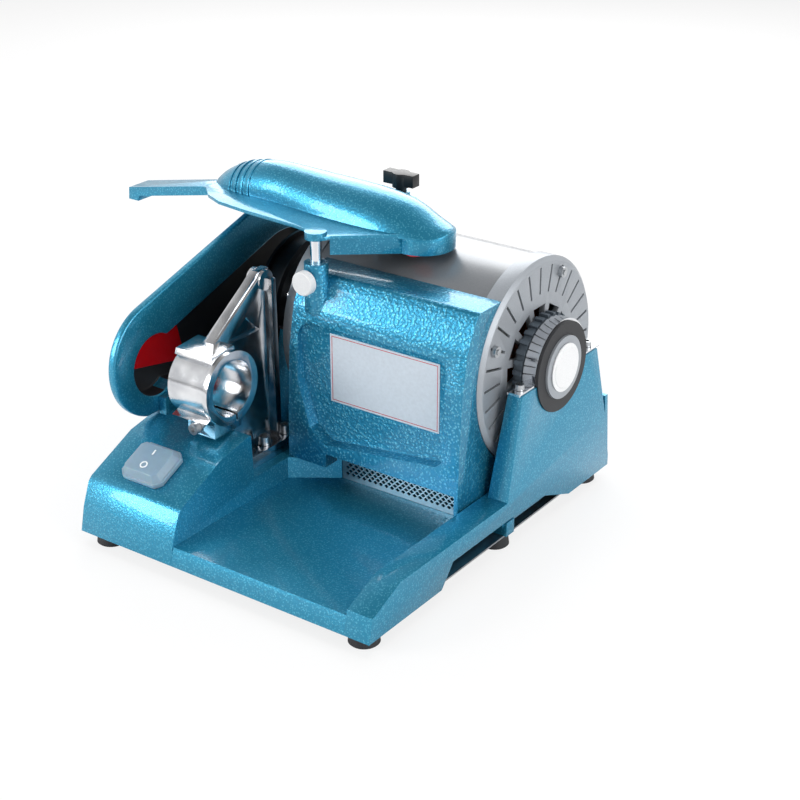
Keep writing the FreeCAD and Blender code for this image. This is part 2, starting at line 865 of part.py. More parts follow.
def mount_strap(label, mirrored):
    """Chrome strap: half ring over the rubber ring with a foot at each end."""
    ring = size("ring_radius") + size("sliding_gap")
    outer = ring + size("strap_thickness")
    right = size("motor_side") - 1
    left = right - size("strap_width")
    foot_z = size("pedestal_top") - motor_z + gap
    foot_top = foot_z + size("strap_thickness")
    reach = outer + size("strap_foot")
    inner_run = root(ring * ring - foot_z * foot_z)
    outer_run = root(outer * outer - foot_top * foot_top)
    body = new_body(label)
    slab(body, "Band", "YZ", left, right,
         ("arcs", [(-reach, foot_z), (-inner_run, foot_z), (0, ring), (inner_run, foot_z),
                   (reach, foot_z), (reach, foot_top), (outer_run, foot_top), (0, outer),
                   (-outer_run, foot_top), (-reach, foot_top)],
          {1: (ring, False), 2: (ring, False), 6: (outer, True), 7: (outer, True)}))
    return motor_piece(body, mirrored)


def strap_screw(label, mirrored, front):
    """Socket head screw through a strap's foot into the pedestal."""
    foot_top = size("pedestal_top") + gap + size("strap_thickness")
    middle = size("motor_side") - 1 - size("strap_width") / 2
    x = motor_x - middle if mirrored else motor_x + middle
    reach = size("ring_radius") + size("strap_foot") - 8
    y = motor_y - reach if front else motor_y + reach
    head = cylinder(label + "_head", 4.0, 5.0, x, y, foot_top + gap)
    socket = cylinder(label + "_socket", 2.0, 4.0, x, y, foot_top + gap + 2)
    return add(taken(label, head, socket))


def stator():
    shell_inner = size("shell_radius") - size("shell_wall") - size("sliding_gap")
    half = size("core_half")
    body = new_body("stator_core")
    turned(body, "Stack", "XY", ring_profile(-half, half, size("core_bore"), shell_inner))
    bolt_holes(body, -half - 1, half + 1)
    motor_piece(body)
    start = half + gap
    for label, mirrored in (("stator_winding_right", False), ("stator_winding_left", True)):
        body = new_body(label)
        inner = size("core_bore") + 8
        outer = size("winding_radius")
        turned(body, "Coil", "XY",
               [(start, inner), (size("winding_half") - 8, inner), (size("winding_half"), inner + 8),
                (size("winding_half"), outer - 8), (size("winding_half") - 8, outer), (start, outer)])
        motor_piece(body, mirrored)


def rotor_and_shaft():
    shaft = size("shaft_radius")
    journal = size("journal_radius")
    bearing = size("bearing_half")
    left = -size("shaft_left")
    right = size("shaft_right")
    turned_ring("rotor_core", -size("core_half"), size("core_half"),
                shaft + size("sliding_gap") / 5, size("rotor_radius"))
    body = new_body("motor_shaft")
    turned(body, "Shaft", "XY",
           [(left, 0), (right, 0), (right, journal), (bearing, journal), (bearing, shaft),
            (-bearing, shaft), (-bearing, journal), (left + 1, journal), (left, journal - 1)])
    motor_piece(body)
    for label, mirrored in (("bearing_right", False), ("bearing_left", True)):
        body = new_body(label)
        start = bearing + size("sliding_gap")
        end = bearing + size("bearing_width")
        lip = size("bearing_radius")
        inner = journal + size("sliding_gap") / 5
        turned(body, "Race", "XY",
               [(start, inner), (end, inner), (end, inner + 3), (end - 1, inner + 3.5),
                (end - 1, lip - 3.5), (end, lip - 3), (end, lip), (start, lip)])
        motor_piece(body, mirrored)


def hub_cap():
    """Bare white cap that closes the right hub."""
    hub = size("hub_half")
    radius = size("cap_radius")
    bore = size("bearing_radius") - size("sliding_gap")
    body = new_body("hub_cap")
    turned(body, "Cap", "XY",
           [(hub - 4, 0), (hub - 4, bore), (hub, bore), (hub + gap, bore), (hub + gap, radius + 3),
            (hub + 1.2, radius + 3), (hub + 1.2, radius), (hub + 2, radius - 1), (hub + 2, 0)])
    return motor_piece(body)


def tie_bolts():
    """Long bolts that pull the two bells together, with a nut at each end."""
    face = size("bell_half")
    circle = size("tie_bolt_circle")
    for index in range(4):
        y = circle * cosine(bolt_angle(index))
        z = circle * sine(bolt_angle(index))
        body = new_body("tie_bolt_%d" % (index + 1))
        radius = size("tie_bolt_radius")
        nut = size("tie_nut_radius")
        turned(body, "Bolt", "XY",
               [(-face - 5, 0), (face + 5, 0), (face + 5, radius), (face + 4, radius),
                (face + 4, nut), (face + gap, nut), (face + gap, radius),
                (-face - gap, radius), (-face - gap, nut), (-face - 4, nut),
                (-face - 4, radius), (-face - 5, radius)])
        place(body, motor_x, motor_y + y, motor_z + z)
        add(body)


def motor_pulley():
    """Stepped pulley on the shaft's left end: flanged belt track and a smaller outer step."""
    right = -size("pulley_right")
    left = right - size("pulley_width")
    flange = size("flange_width")
    track = size("pulley_track")
    radius = size("pulley_radius")
    step = size("pulley_step")
    bore = size("journal_radius") + size("sliding_gap") / 5
    body = new_body("motor_pulley")
    turned(body, "Wheel", "XY",
           [(left - 8, bore), (right, bore), (right, 18), (right - 6, 22), (right - 6, step),
            (right, step + 3), (right, radius - 4), (right - flange / 2, radius),
            (right - flange, radius), (right - flange, track), (left + flange, track),
            (left + flange, radius), (left, radius), (left, step), (left + 4, step),
            (left + 4, 20), (left - 8, 18)])
    return motor_piece(body)


motor_shell()
for side_name, is_left in (("right", False), ("left", True)):
    motor_bell("motor_bell_" + side_name, is_left)
    mount_teeth("mount_collar_" + side_name, is_left)
    rubber_ring("rubber_ring_" + side_name, is_left)
    mount_strap("mount_strap_" + side_name, is_left)
    for end_name, at_front in (("front", True), ("back", False)):
        strap_screw("strap_screw_%s_%s" % (side_name, end_name), is_left, at_front)
stator()
rotor_and_shaft()
hub_cap()
tie_bolts()
motor_pulley()


# Front housing: curved front with a label recess, cheeks that follow the end bell and the
# boss with its gusset for the lamp post

def housing_profile():
    """Front outline, from the sill up to the brow, and the flat top."""
    face = size("housing_face") - half_depth
    brow = size("housing_brow") - half_depth
    top = size("housing_top")
    waist = size("housing_waist")
    return [(face, size("ledge_top") + gap), (face + 1, size("housing_chin") + 30),
            (face + 4.8, waist), (face + 12, waist + 37), (face + 22, waist + 57),
            (brow, top), (motor_y - 40, top)]


def front_housing():
    left = -size("housing_left")
    right = size("housing_right")
    wall_thickness = size("housing_wall")
    face = size("housing_face") - half_depth
    top = size("housing_top")
    chin = size("housing_chin")
    front = housing_profile()
    bottom = deck + gap
    body = new_body("front_housing")
    slab(body, "Shell", "YZ", left, right, front + [(motor_y - 40, bottom), (face, bottom)])
    corners = edges_along(body.Tip, "X", [front[1], front[2], front[3], front[4]])
    fillet(body, "FrontCurve", corners, 25.0)
    corners = edges_along(body.Tip, "X", [front[5]])
    fillet(body, "Brow", corners, 6.0)
    cut(body, "MotorBay", "YZ", left - 1, right + 1,
        ("circle", motor_y, motor_z, size("bell_radius") + size("motor_gap")))
    floor = size("recess_floor") - half_depth
    cut(body, "Inside", "YZ", left + wall_thickness, right - wall_thickness,
        [(floor + wall_thickness, bottom - 1), (floor + wall_thickness, size("recess_top")),
         (face + 30, top - wall_thickness), (motor_y - 39, top - wall_thickness),
         (motor_y - 39, bottom - 1)])
    cut(body, "Chin", "XY", bottom - 1, chin,
        [(ledge_wall + gap, face - 5), (right - wall_thickness, face - 5),
         (right - wall_thickness, motor_y), (ledge_wall + gap, motor_y)])
    cut(body, "Sill", "XY", bottom - 1, size("ledge_top") + gap,
        [(left - 1, face - 5), (ledge_wall + gap + 1, face - 5),
         (ledge_wall + gap + 1, motor_y), (left - 1, motor_y)])

    # Recess with a vertical floor, round at the lower left
    low = size("recess_low")
    high = size("recess_top")
    west = -size("recess_left")
    east = size("recess_right")
    cut(body, "Recess", "XZ", face - 5, floor,
        ("arcs", [(west, high), (east, high), (east, low + 12), (east - 6, low + 7),
                  (-12, low - 6), (-28, low + 6), (west + 3, low + 46)], {}))
    round_spots = [(west, high), (east, high)]
    sharp = edges_along(body.Tip, "Y", round_spots)
    fillet(body, "RecessCorners", sharp, size("recess_corner"))

    # Boss for the lamp post with a gusset that tapers down into the front
    post_x = size("post_side") - half_width
    post_y = size("post_back") - half_depth
    boss_radius = size("boss_radius")
    slab(body, "PostBoss", "XY", size("boss_low"), size("boss_top"),
         ("circle", post_x, post_y, boss_radius))
    slab(body, "Gusset", "YZ", post_x - 5, post_x + 5,
         [(post_y - boss_radius + 1, size("boss_low") + 12), (post_y, size("boss_low") + 12),
          (post_y + 4, size("boss_low") - 14), (post_y - 3, size("boss_low") - 14)])
    cut(body, "PostBore", "XY", size("post_low") - 1, size("boss_top") + 1,
        ("circle", post_x, post_y, size("post_radius") + size("sliding_gap")))
    cut(body, "KnobThread", "XZ", post_y - boss_radius - 1, post_y,
        ("circle", post_x, size("knob_height"), size("knob_stem") + size("sliding_gap")))
    return body


def suction_grille():
    """Flat grille with staggered diamond holes behind the chin."""
    y = ledge_back + gap
    left = ledge_wall + gap * 2
    right = size("housing_right") - size("housing_wall") - gap
    low = deck + gap
    high = size("housing_chin") - 1
    pitch = size("grille_pitch")
    half = size("grille_hole") / 2
    body = new_body("suction_grille")
    slab(body, "Plate", "XZ", y, y + size("grille_thickness"),
         [(left, low), (right, low), (right, high), (left, high)])
    first = cut(body, "Hole", "XZ", y - 1, y + size("grille_thickness") + 1,
                [(left + pitch - half * 1.3, low + pitch), (left + pitch, low + pitch - half),
                 (left + pitch + half * 1.3, low + pitch), (left + pitch, low + pitch + half)],
                [(left + pitch * 1.5 - half * 1.3, low + pitch * 1.5),
                 (left + pitch * 1.5, low + pitch * 1.5 - half),
                 (left + pitch * 1.5 + half * 1.3, low + pitch * 1.5),
                 (left + pitch * 1.5, low + pitch * 1.5 + half)])
    across = (right - left - pitch * 2) / pitch
    up = (high - low - pitch * 1.5) / pitch
    pattern = body.newObject("PartDesign::MultiTransform", "Holes")
    pattern.Originals = [first]
    row = body.newObject("PartDesign::LinearPattern", "Row")
    row.Direction = (origin_feature(body, "X_Axis"), [""])
    row.Mode = "Spacing"
    bind(row, "Offset", pitch)
    bind(row, "Occurrences", Term(math.floor(across.value), "floor(%s)" % across.text))
    column = body.newObject("PartDesign::LinearPattern", "Column")
    column.Direction = (origin_feature(body, "Z_Axis"), [""])
    column.Mode = "Spacing"
    bind(column, "Offset", pitch)
    bind(column, "Occurrences", Term(math.floor(up.value), "floor(%s)" % up.text))
    pattern.Transformations = [row, column]
    body.Tip = pattern
    doc.recompute()
    return body


# Lamp post with its clamping knob

def lamp_post():
    post_x = size("post_side") - half_width
    post_y = size("post_back") - half_depth
    low = size("post_low")
    return add(cylinder("lamp_post", size("post_radius"), size("post_top") - low, post_x, post_y, low))


def post_knob():
    """Turned knob whose stem screws into the boss from the front."""
    post_y = size("post_back") - half_depth
    body = new_body("post_knob")
    stem_end = -size("post_radius") - size("sliding_gap") * 2
    face = -size("boss_radius") - gap - 1
    width = size("knob_width")
    radius = size("knob_radius")
    stem = size("knob_stem")
    turned(body, "Knob", "XY",
           [(stem_end, 0), (stem_end, stem), (face, stem), (face, radius - 3), (face - 2, radius),
            (face - width + 1, radius), (face - width, radius - 1), (face - width, 0)])
    place(body, size("post_side") - half_width, post_y, size("knob_height"),
          Rotation(Vector(0, 0, 1), 90))
    return add(body)


add(front_housing())
add(suction_grille())
lamp_post()
post_knob()


# Spindle bracket: slotted foot, upright web with a back rib, and the split clamp ring

def spindle_bracket():
    foot_x = size("foot_left") - half_width
    foot_right = foot_x + size("foot_width")
    foot_front = size("foot_front") - half_depth
    foot_back = size("foot_back") - half_depth
    foot_low = size("ledge_top") + gap
    foot_high = foot_low + size("foot_thickness")
    web_left = size("plate_left") - half_width
    web_right = web_left + size("plate_width")
    ring_left = size("clamp_left") - half_width
    ring_right = ring_left + size("clamp_length")
    ring = size("clamp_radius")
    rib_back = size("rib_back") - half_depth
    apex = size("apex_height")
    bore = size("spindle_bore")
    body = new_body("spindle_bracket")
    slab(body, "Foot", "XY", foot_low, foot_high,
         [(foot_x, foot_front), (foot_right, foot_front), (foot_right, foot_back), (foot_x, foot_back)])
    slab(body, "Web", "YZ", web_left, web_right,
         [(foot_front + 2, foot_high - 1), (rib_back, foot_high - 1), (rib_back - 2, apex),
          (rib_back - size("apex_depth"), apex), (spindle_y - 4, spindle_z + ring - 1),
          (spindle_y, spindle_z), (spindle_y + ring - 4, spindle_z - 14)])
    middle = (web_left + web_right) / 2
    rib = size("rib_width") / 2
    thick = size("rib_thickness")
    slab(body, "Rib", "YZ", middle - rib, middle + rib,
         [(rib_back - thick, foot_high - 1), (rib_back, foot_high - 1), (rib_back - 2, apex - 8),
          (rib_back - thick - 1, apex - 8)])
    slab(body, "ApexBoss", "YZ", middle - rib / 1.6, middle + rib / 1.6,
         ("circle", rib_back - 9, apex - 9, as_term(9)))
    ridge = size("plate_width") * 1.6 / 2
    slab(body, "Ridge", "YZ", middle - ridge, middle + ridge,
         [(rib_back - 17, apex - 5), (rib_back - 13, apex - 9), (spindle_y + 6, spindle_z + ring - 6),
          (spindle_y - 6, spindle_z + ring - 2)])
    slab(body, "Ring", "YZ", ring_left, ring_right, ("circle", spindle_y, spindle_z, ring))
    slab(body, "Collar", "YZ", ring_right - size("collar_width"), ring_right,
         ("circle", spindle_y, spindle_z, size("collar_radius")))
    slab(body, "TopLug", "YZ", ring_left, ring_right - size("collar_width"),
         [(spindle_y - 14, spindle_z + ring - 8), (spindle_y + 12, spindle_z + ring - 8),
          (spindle_y + 10, spindle_z + ring + 4), (spindle_y - 18, spindle_z + ring + 2),
          (spindle_y - 20, spindle_z + ring - 3)])
    slab(body, "LowerLip", "YZ", ring_left + 2, ring_right - size("collar_width"),
         [(spindle_y - 30, spindle_z - ring + 7), (spindle_y, spindle_z - ring - 3),
          (spindle_y, spindle_z - ring + 4), (spindle_y - 18, spindle_z - 20)])
    ear = size("ear_depth") / 2
    slab(body, "Ears", "YZ", ring_left + 8, ring_right - 7,
         [(spindle_y - ear, spindle_z - ring - size("ear_height")),
          (spindle_y + ear, spindle_z - ring - size("ear_height")),
          (spindle_y + ear, spindle_z - ring + 8), (spindle_y - ear, spindle_z - ring + 8)])
    cut(body, "Bore", "YZ", ring_left - 1, ring_right + 1, ("circle", spindle_y, spindle_z, bore))
    slit = size("clamp_slit") / 2
    cut(body, "Slit", "YZ", ring_left - 1, ring_right + 1,
        [(spindle_y + 4 - slit, spindle_z - ring - size("ear_height") - 1),
         (spindle_y + 4 + slit, spindle_z - ring - size("ear_height") - 1),
         (spindle_y + 4 + slit, spindle_z - bore + 4), (spindle_y + 4 - slit, spindle_z - bore + 4)])

    # Triangular pocket on the right face of the web, slots for the bolts, screw holes
    cut(body, "WebPocket", "YZ", web_right - 3, web_right + 10,
        ("arcs", [(spindle_y + 20, spindle_z + ring - 4), (rib_back - thick - 8, spindle_z + ring - 4),
                  (rib_back - thick - 26, apex - 36)], {1: (as_term(60), False)}))
    bolt = size("bolt_radius") + gap
    travel = size("tension_travel")
    slots = []
    slot_x = foot_right - size("bolt_inset")
    for alias in ("bolt_front", "bolt_back"):
        y = size(alias) - half_depth
        slots.append(("arcs", [(slot_x - bolt, y - travel), (slot_x + bolt, y - travel),
                               (slot_x + bolt, y + travel), (slot_x - bolt, y + travel)],
                      {0: (bolt, True), 2: (bolt, True)}))
    cut(body, "BoltSlots", "XY", foot_low - 1, foot_high + 1, *slots)
    screw_x = (ring_left + ring_right) / 2 - 4
    screw_z = spindle_z - ring - size("ear_height") / 2
    cut(body, "ClampHole", "XZ", spindle_y - 40, spindle_y + ear - 3,
        ("circle", screw_x, screw_z, as_term(3) + size("sliding_gap")))
    return body


def bracket_bolts():
    foot_right = size("foot_left") - half_width + size("foot_width")
    x = foot_right - size("bolt_inset")
    foot_high = size("ledge_top") + gap + size("foot_thickness")
    for name, alias in (("front", "bolt_front"), ("back", "bolt_back")):
        y = size(alias) - half_depth
        label = "bracket_bolt_" + name
        head = cylinder(label + "_head", size("bolt_head"), 6.0, x, y, foot_high + 1.5 + gap)
        washer = cylinder(label + "_washer", size("bolt_head") + 0.5, 1.5, x, y, foot_high + gap)
        shank = cylinder(label + "_shank", size("bolt_radius"), foot_high + gap - size("ledge_top"),
                         x, y, size("ledge_top"))
        socket = cylinder(label + "_socket", 2.5, 4.0, x, y, foot_high + 1.5 + gap + 3)
        add(taken(label, joined(label + "_solid", head, washer, shank), socket))


def clamp_screw():
    """Cap screw that draws the ears of the clamp together, reached from the front."""
    ring_left = size("clamp_left") - half_width
    x = ring_left + size("clamp_length") / 2 - 4
    z = spindle_z - size("clamp_radius") - size("ear_height") / 2
    ear = size("ear_depth") / 2
    body = new_body("clamp_screw")
    turned(body, "Screw", "XY",
           [(-ear - 6, 0), (-ear - 6, 5.0), (-ear - gap, 5.0), (-ear - gap, 3.0), (ear - 4, 3.0),
            (ear - 4, 0)])
    cut(body, "Socket", "YZ", -ear - 7, -ear - 3, ("circle", 0, 0, as_term(2.4)))
    place(body, x, spindle_y, z, Rotation(Vector(0, 0, 1), 90))
    return add(body)


add(spindle_bracket())
bracket_bolts()
clamp_screw()


# Belt guard: flat plate with a keyhole opening and a shallow pan behind it

def tangent_points(y1, z1, r1, y2, z2, r2, upper):
    """Points where one common outer tangent touches two circles."""
    dy = y2 - y1
    dz = z2 - z1
    span = root(dy * dy + dz * dz)
    lean = Term(math.degrees(math.asin((r2.value - r1.value) / span.value)),
                "asin((%s - %s) / %s)" % (r2.text, r1.text, span.text))
    base = slope_angle(dz, dy)
    quarter = Term(90, "90 deg")
    angle = base + lean + quarter if upper else base - lean - quarter
    first = (y1 + r1 * cosine(angle), z1 + r1 * sine(angle))
    second = (y2 + r2 * cosine(angle), z2 + r2 * sine(angle))
    return first, second


def keyhole(y1, z1, r1, y2, z2, r2):
    """Outline round two circles and their outer tangents."""
    top_first, top_second = tangent_points(y1, z1, r1, y2, z2, r2, True)
    low_first, low_second = tangent_points(y1, z1, r1, y2, z2, r2, False)
    points = [low_first, (y1 - r1, z1), top_first, top_second, (y2 + r2, z2), low_second]
    return ("arcs", points, {0: (r1, False), 1: (r1, False), 3: (r2, False), 4: (r2, False)})


def belt_guard():
    face = -size("guard_face")
    back = face - size("guard_plate")
    pan = back - size("guard_pan")
    pan_wall = size("guard_wall")
    nose_z = spindle_z + size("guard_nose_rise")
    hole = size("guard_hole")
    window = size("guard_window")
    tail = size("guard_tail")
    body = new_body("belt_guard")
    slab(body, "Plate", "YZ", back, face,
         keyhole(spindle_y, nose_z, size("guard_nose"), motor_y, motor_z, tail))
    slab(body, "Pan", "YZ", pan, back,
         keyhole(spindle_y, spindle_z, hole + pan_wall, motor_y, motor_z, window + pan_wall))
    cut(body, "Window", "YZ", pan + pan_wall, face + 1,
        keyhole(spindle_y, spindle_z, hole - size("guard_step"), motor_y, motor_z, window))
    cut(body, "NoseHole", "YZ", pan + pan_wall, face + 1, ("circle", spindle_y, spindle_z, hole))
    low = size("ledge_top") + gap
    cut(body, "LowerEdge", "YZ", back - 1, face + 1,
        [(motor_y - tail, low - 20), (motor_y + tail, low - 20), (motor_y + tail, low),
         (motor_y - tail, low)])
    seat = size("console_top") + gap
    heel = size("console_heel") + size("heel_draft") - half_depth
    cut(body, "ConsoleSeat", "YZ", back - 1, face + 1,
        [(spindle_y - size("guard_nose"), seat - 20), (heel + gap, seat - 20), (heel + gap, seat),
         (spindle_y - size("guard_nose"), seat)])
    return add(body)


belt_guard()


# Rocker switch on the console's facet, with the clear boot over it

def rectangle(half_x, half_y):
    return [(-half_x, -half_y), (half_x, -half_y), (half_x, half_y), (-half_x, half_y)]


def cut_rectangle(half_x, half_y, corner):
    return [(corner - half_x, -half_y), (half_x - corner, -half_y), (half_x, corner - half_y),
            (half_x, half_y - corner), (half_x - corner, half_y), (corner - half_x, half_y),
            (-half_x, half_y - corner), (-half_x, corner - half_y)]


def on_facet(body, tilt=Term(0, "0 deg")):
    """Seat a piece in the middle of the switch window, square to the sloping facet."""
    body.Placement.Rotation = Rotation(Vector(1, 0, 0), 10)
    place(body, switch_x, switch_y, (size("facet_low") + size("facet_high")) / 2)
    bind(body, ".Placement.Rotation.Angle", facet_angle + tilt)
    return add(body)


def switch_frame():
    half_x = size("switch_width") / 2
    half_y = size("switch_body_height") / 2
    edge = size("bezel_edge")
    lip = size("bezel_lip") + gap
    body = new_body("switch_frame")
    slab(body, "Body", "XY", -size("switch_depth"), gap + 0.5, rectangle(half_x - gap, half_y))
    slab(body, "Bezel", "XY", gap, lip,
         cut_rectangle(half_x + edge, size("switch_height") / 2 + edge, size("boot_corner") - 1))
    cut(body, "Well", "XY", -8, lip + 1, rectangle(half_x - well_wall, half_y - 2))
    reach = half_x - pivot_wall
    cut(body, "PivotHoles", "YZ", -reach, reach,
        ("circle", 0, 0, size("pivot_radius") + size("sliding_gap")))
    return on_facet(body)


def switch_rocker():
    half_x = size("switch_width") / 2 - well_wall - gap
    pin = size("switch_width") / 2 - pivot_wall - gap
    reach = size("switch_body_height") / 2 - 2.8
    body = new_body("switch_rocker")
    slab(body, "Key", "YZ", -half_x, half_x,
         [(-reach, 1.0), (-3.0, -4.0), (3.0, -4.0), (reach, 1.0), (reach - 0.6, 4.6),
          (0, 2.6), (0.6 - reach, 4.6)])
    slab(body, "Pivot", "YZ", -pin, pin, ("circle", 0, 0, size("pivot_radius")))
    return on_facet(body, size("rocker_tilt") * Term(1, "1 deg"))


def boot_outline(inset):
    return cut_rectangle(size("boot_width") / 2 - inset, size("boot_height") / 2 - inset,
                         size("boot_corner") - inset / 2)


def switch_boot():
    """Soft cover: a skirt round the bezel and a crown that narrows to the top."""
    step = size("boot_step")
    rise = size("boot_rise")
    skin = size("boot_wall")
    body = new_body("switch_boot")
    slab(body, "Skirt", "XY", gap, step, boot_outline(as_term(0)))
    lofted(body, "Crown", step, boot_outline(as_term(1.5)), rise, boot_outline(as_term(5)))
    cut(body, "SkirtHollow", "XY", gap - 1, step - skin, boot_outline(skin))
    lofted(body, "CrownHollow", step - skin - 0.5, boot_outline(skin + 1.5), rise - skin,
           boot_outline(skin + 5), remove=True)
    return on_facet(body)


well_wall = as_term(3)
pivot_wall = as_term(1.2)
switch_frame()
switch_rocker()
switch_boot()


# Rear services: mains inlet and the dust outlet tube

def power_inlet():
    """Appliance inlet with a flange, a pin well and three flat pins."""
    half_x = size("inlet_width") / 2
    half_z = size("inlet_height") / 2
    body = new_body("power_inlet")
    slab(body, "Body", "XZ", -size("inlet_depth"), gap + 0.5, rectangle(half_x, half_z))
    slab(body, "Flange", "XZ", gap, gap + size("inlet_flange"), rectangle(half_x + 4, half_z + 2.5))
    cut(body, "Well", "XZ", -16, gap + size("inlet_flange") + 1, rectangle(half_x - 2, half_z - 2))
    pins = []
    for x, z in ((-7.0, -1.5), (0.0, 1.5), (7.0, -1.5)):
        pins.append([(x - 1, z - 1.5), (x + 1, z - 1.5), (x + 1, z + 1.5), (x - 1, z + 1.5)])
    slab(body, "Pins", "XZ", -17, -2, *pins)
    place(body, size("inlet_side") - half_width, half_depth, size("inlet_axis"))
    return add(body)


def dust_outlet():
    """Short tube for the suction hose with a flange on its seat."""
    outer = size("outlet_radius")
    inner = outer - size("outlet_wall")
    length = size("outlet_length")
    body = new_body("dust_outlet")
    slab(body, "Tube", "XZ", 18 - length, 18, ("circle", 0, 0, outer))
    slab(body, "Flange", "XZ", gap - 2, gap, ("circle", 0, 0, outer + 4))
    cut(body, "Bore", "XZ", 17 - length, 19, ("circle", 0, 0, inner))
    place(body, size("outlet_side") - half_width, half_depth, size("outlet_height"))
    return add(body)


power_inlet()
dust_outlet()


# Underside: six rubber feet, the bottom cover and the capacitor that lies on it

def feet():
    for number, (x, y) in enumerate(foot_places(), start=1):
        body = new_body("foot_%d" % number)
        radius = size("foot_radius")
        height = size("foot_height")
        turned(body, "Rubber", "XZ",
               [(0, 4), (4, 4), (4, 0), (radius - 1, 0), (radius, 1), (radius - 1.5, height), (0, height)],
               axis="V")
        place(body, x, y, 0.0)
        add(body)


def bottom_cover():
    margin = wall + gap
    low = skirt
    body = new_body("bottom_cover")
    slab(body, "Sheet", "XY", low, low + size("cover_thickness"),
         [(margin - half_width, margin + 1.5 - half_depth), (half_width - margin, margin + 1.5 - half_depth),
          (half_width - margin, half_depth - margin - 2.5), (margin - half_width, half_depth - margin - 2.5)])
    slots = []
    for index in range(6):
        y = -50.0 + index * 20.0
        slots.append([(-40, y), (60, y), (60, y + 6), (-40, y + 6)])
    cut(body, "Vents", "XY", low - 1, low + size("cover_thickness") + 1, *slots)
    return add(body)


def capacitor():
    radius = size("capacitor_radius")
    bed = skirt + size("cover_thickness") + gap
    return add(cylinder("capacitor", radius, size("capacitor_length"),
                        console_wall - wall - radius * 2, heel_y + 6, bed + radius, TURN_BACK))


heel_y = size("console_heel") - half_depth
feet()
bottom_cover()
capacitor()


# Lamp hood: streamlined dome with ribs on a flat brim, a round nose, a lamp box and a
# handle. Its own origin is the middle of the nose at the height of the brim

# Places and half widths and heights of the dome's sections, as shares of the dome's size
DOME_SECTIONS = [
    (1.0, 0.174, 0.1), (0.965, 0.4, 0.33), (0.908, 0.56, 0.6), (0.833, 0.64, 0.81),
    (0.724, 0.67, 0.98), (0.61, 0.72, 1.0), (0.452, 0.87, 0.96), (0.307, 0.96, 0.93),
    (0.171, 1.0, 0.86), (0.053, 0.94, 0.67)]
# The same over the nose, as shares of the nose's radius and the dome's height
NOSE_SECTIONS = [(0.14, 0.985, 0.42), (0.57, 0.8, 0.24), (0.86, 0.5, 0.13), (0.98, 0.18, 0.06)]
BRIM_STATIONS = [(0.974, 0.43), (0.9, 0.69), (0.81, 0.84), (0.66, 0.92), (0.395, 1.0)]

hood_x = size("hood_nose_side") - half_width
hood_y = size("hood_back") - half_depth
hood_z = size("hood_height")


def in_hood(item, turn=None):
    return add(place(item, hood_x, hood_y, hood_z, turn))


def dome_sections(inset):
    """Place, half width and height of each section, drawn in by an inset."""
    half = size("dome_width") / 2
    height = size("dome_height")
    radius = size("nose_radius")
    rows = [(size("hood_length") * -along, half * wide - inset, height * high - inset)
            for along, wide, high in DOME_SECTIONS]
    return rows + [(radius * along, radius * wide - inset, height * high - inset)
                   for along, wide, high in NOSE_SECTIONS]


def dome_section_at(x):
    """Half width and height of the dome between two of its sections."""
    rows = dome_sections(as_term(0))
    for (left, wide, high), (right, next_wide, next_high) in zip(rows, rows[1:]):
        if x.value <= right.value:
            share = (x - left) / (right - left)
            return wide + (next_wide - wide) * share, high + (next_high - high) * share
    raise RuntimeError("no dome at %.1f" % x.value)


def dome_loft(body, name, rows, low, remove=False):
    """Smooth solid through round-topped sections that stand on a flat foot."""
    sketches = []
    for index, (x, wide, high) in enumerate(rows):
        sketch = new_sketch(body, "%sSection%d" % (name, index + 1), "YZ", x)
        radius = (wide * wide + high * high) / (high * 2)
        fill_sketch(sketch, [("arcs", [(-wide, low), (wide, low), (wide, 0), (0, high), (-wide, 0)],
                              {2: (radius, True), 3: (radius, True)})])
        sketches.append(sketch)
    loft = body.newObject("PartDesign::SubtractiveLoft" if remove else "PartDesign::AdditiveLoft", name)
    loft.Profile = sketches[0]
    loft.Sections = sketches[1:]
    doc.recompute()
    return loft


def brim_outline(post_x, post_y):
    """Outline of the brim, with a lobe round the post, front side first."""
    length = size("hood_length")
    lobe = size("lobe_radius")
    front = [(length * -along, size("brim_front") * -wide) for along, wide in BRIM_STATIONS]
    lobe_points = [(post_x - lobe, post_y + lobe / 2), (post_x - lobe / 2, post_y - lobe * 0.87),
                   (post_x + lobe / 2, post_y - lobe * 0.87), (-size("lamp_box_left"), post_y)]
    corners = [(-size("lamp_box_left") + 2, -size("lamp_box_front")), (0, 2 - size("nose_radius")),
               (0, size("nose_radius") - 2), (-size("lamp_box_left"), size("brim_rear"))]
    back = [(length * -along, size("brim_rear") * wide) for along, wide in BRIM_STATIONS]
    return front + lobe_points + corners + back[::-1]


def lamp_box_outline(inset):
    """Plan of the lamp box: two slanting walls that meet the nose."""
    left = inset - size("lamp_box_left")
    front = size("lamp_box_front") - inset * 1.6
    rear = size("lamp_box_rear") - inset * 1.2
    side = size("nose_radius") - 2 - inset
    return [(left, -front), (0, -side), (0, side), (left, rear)]


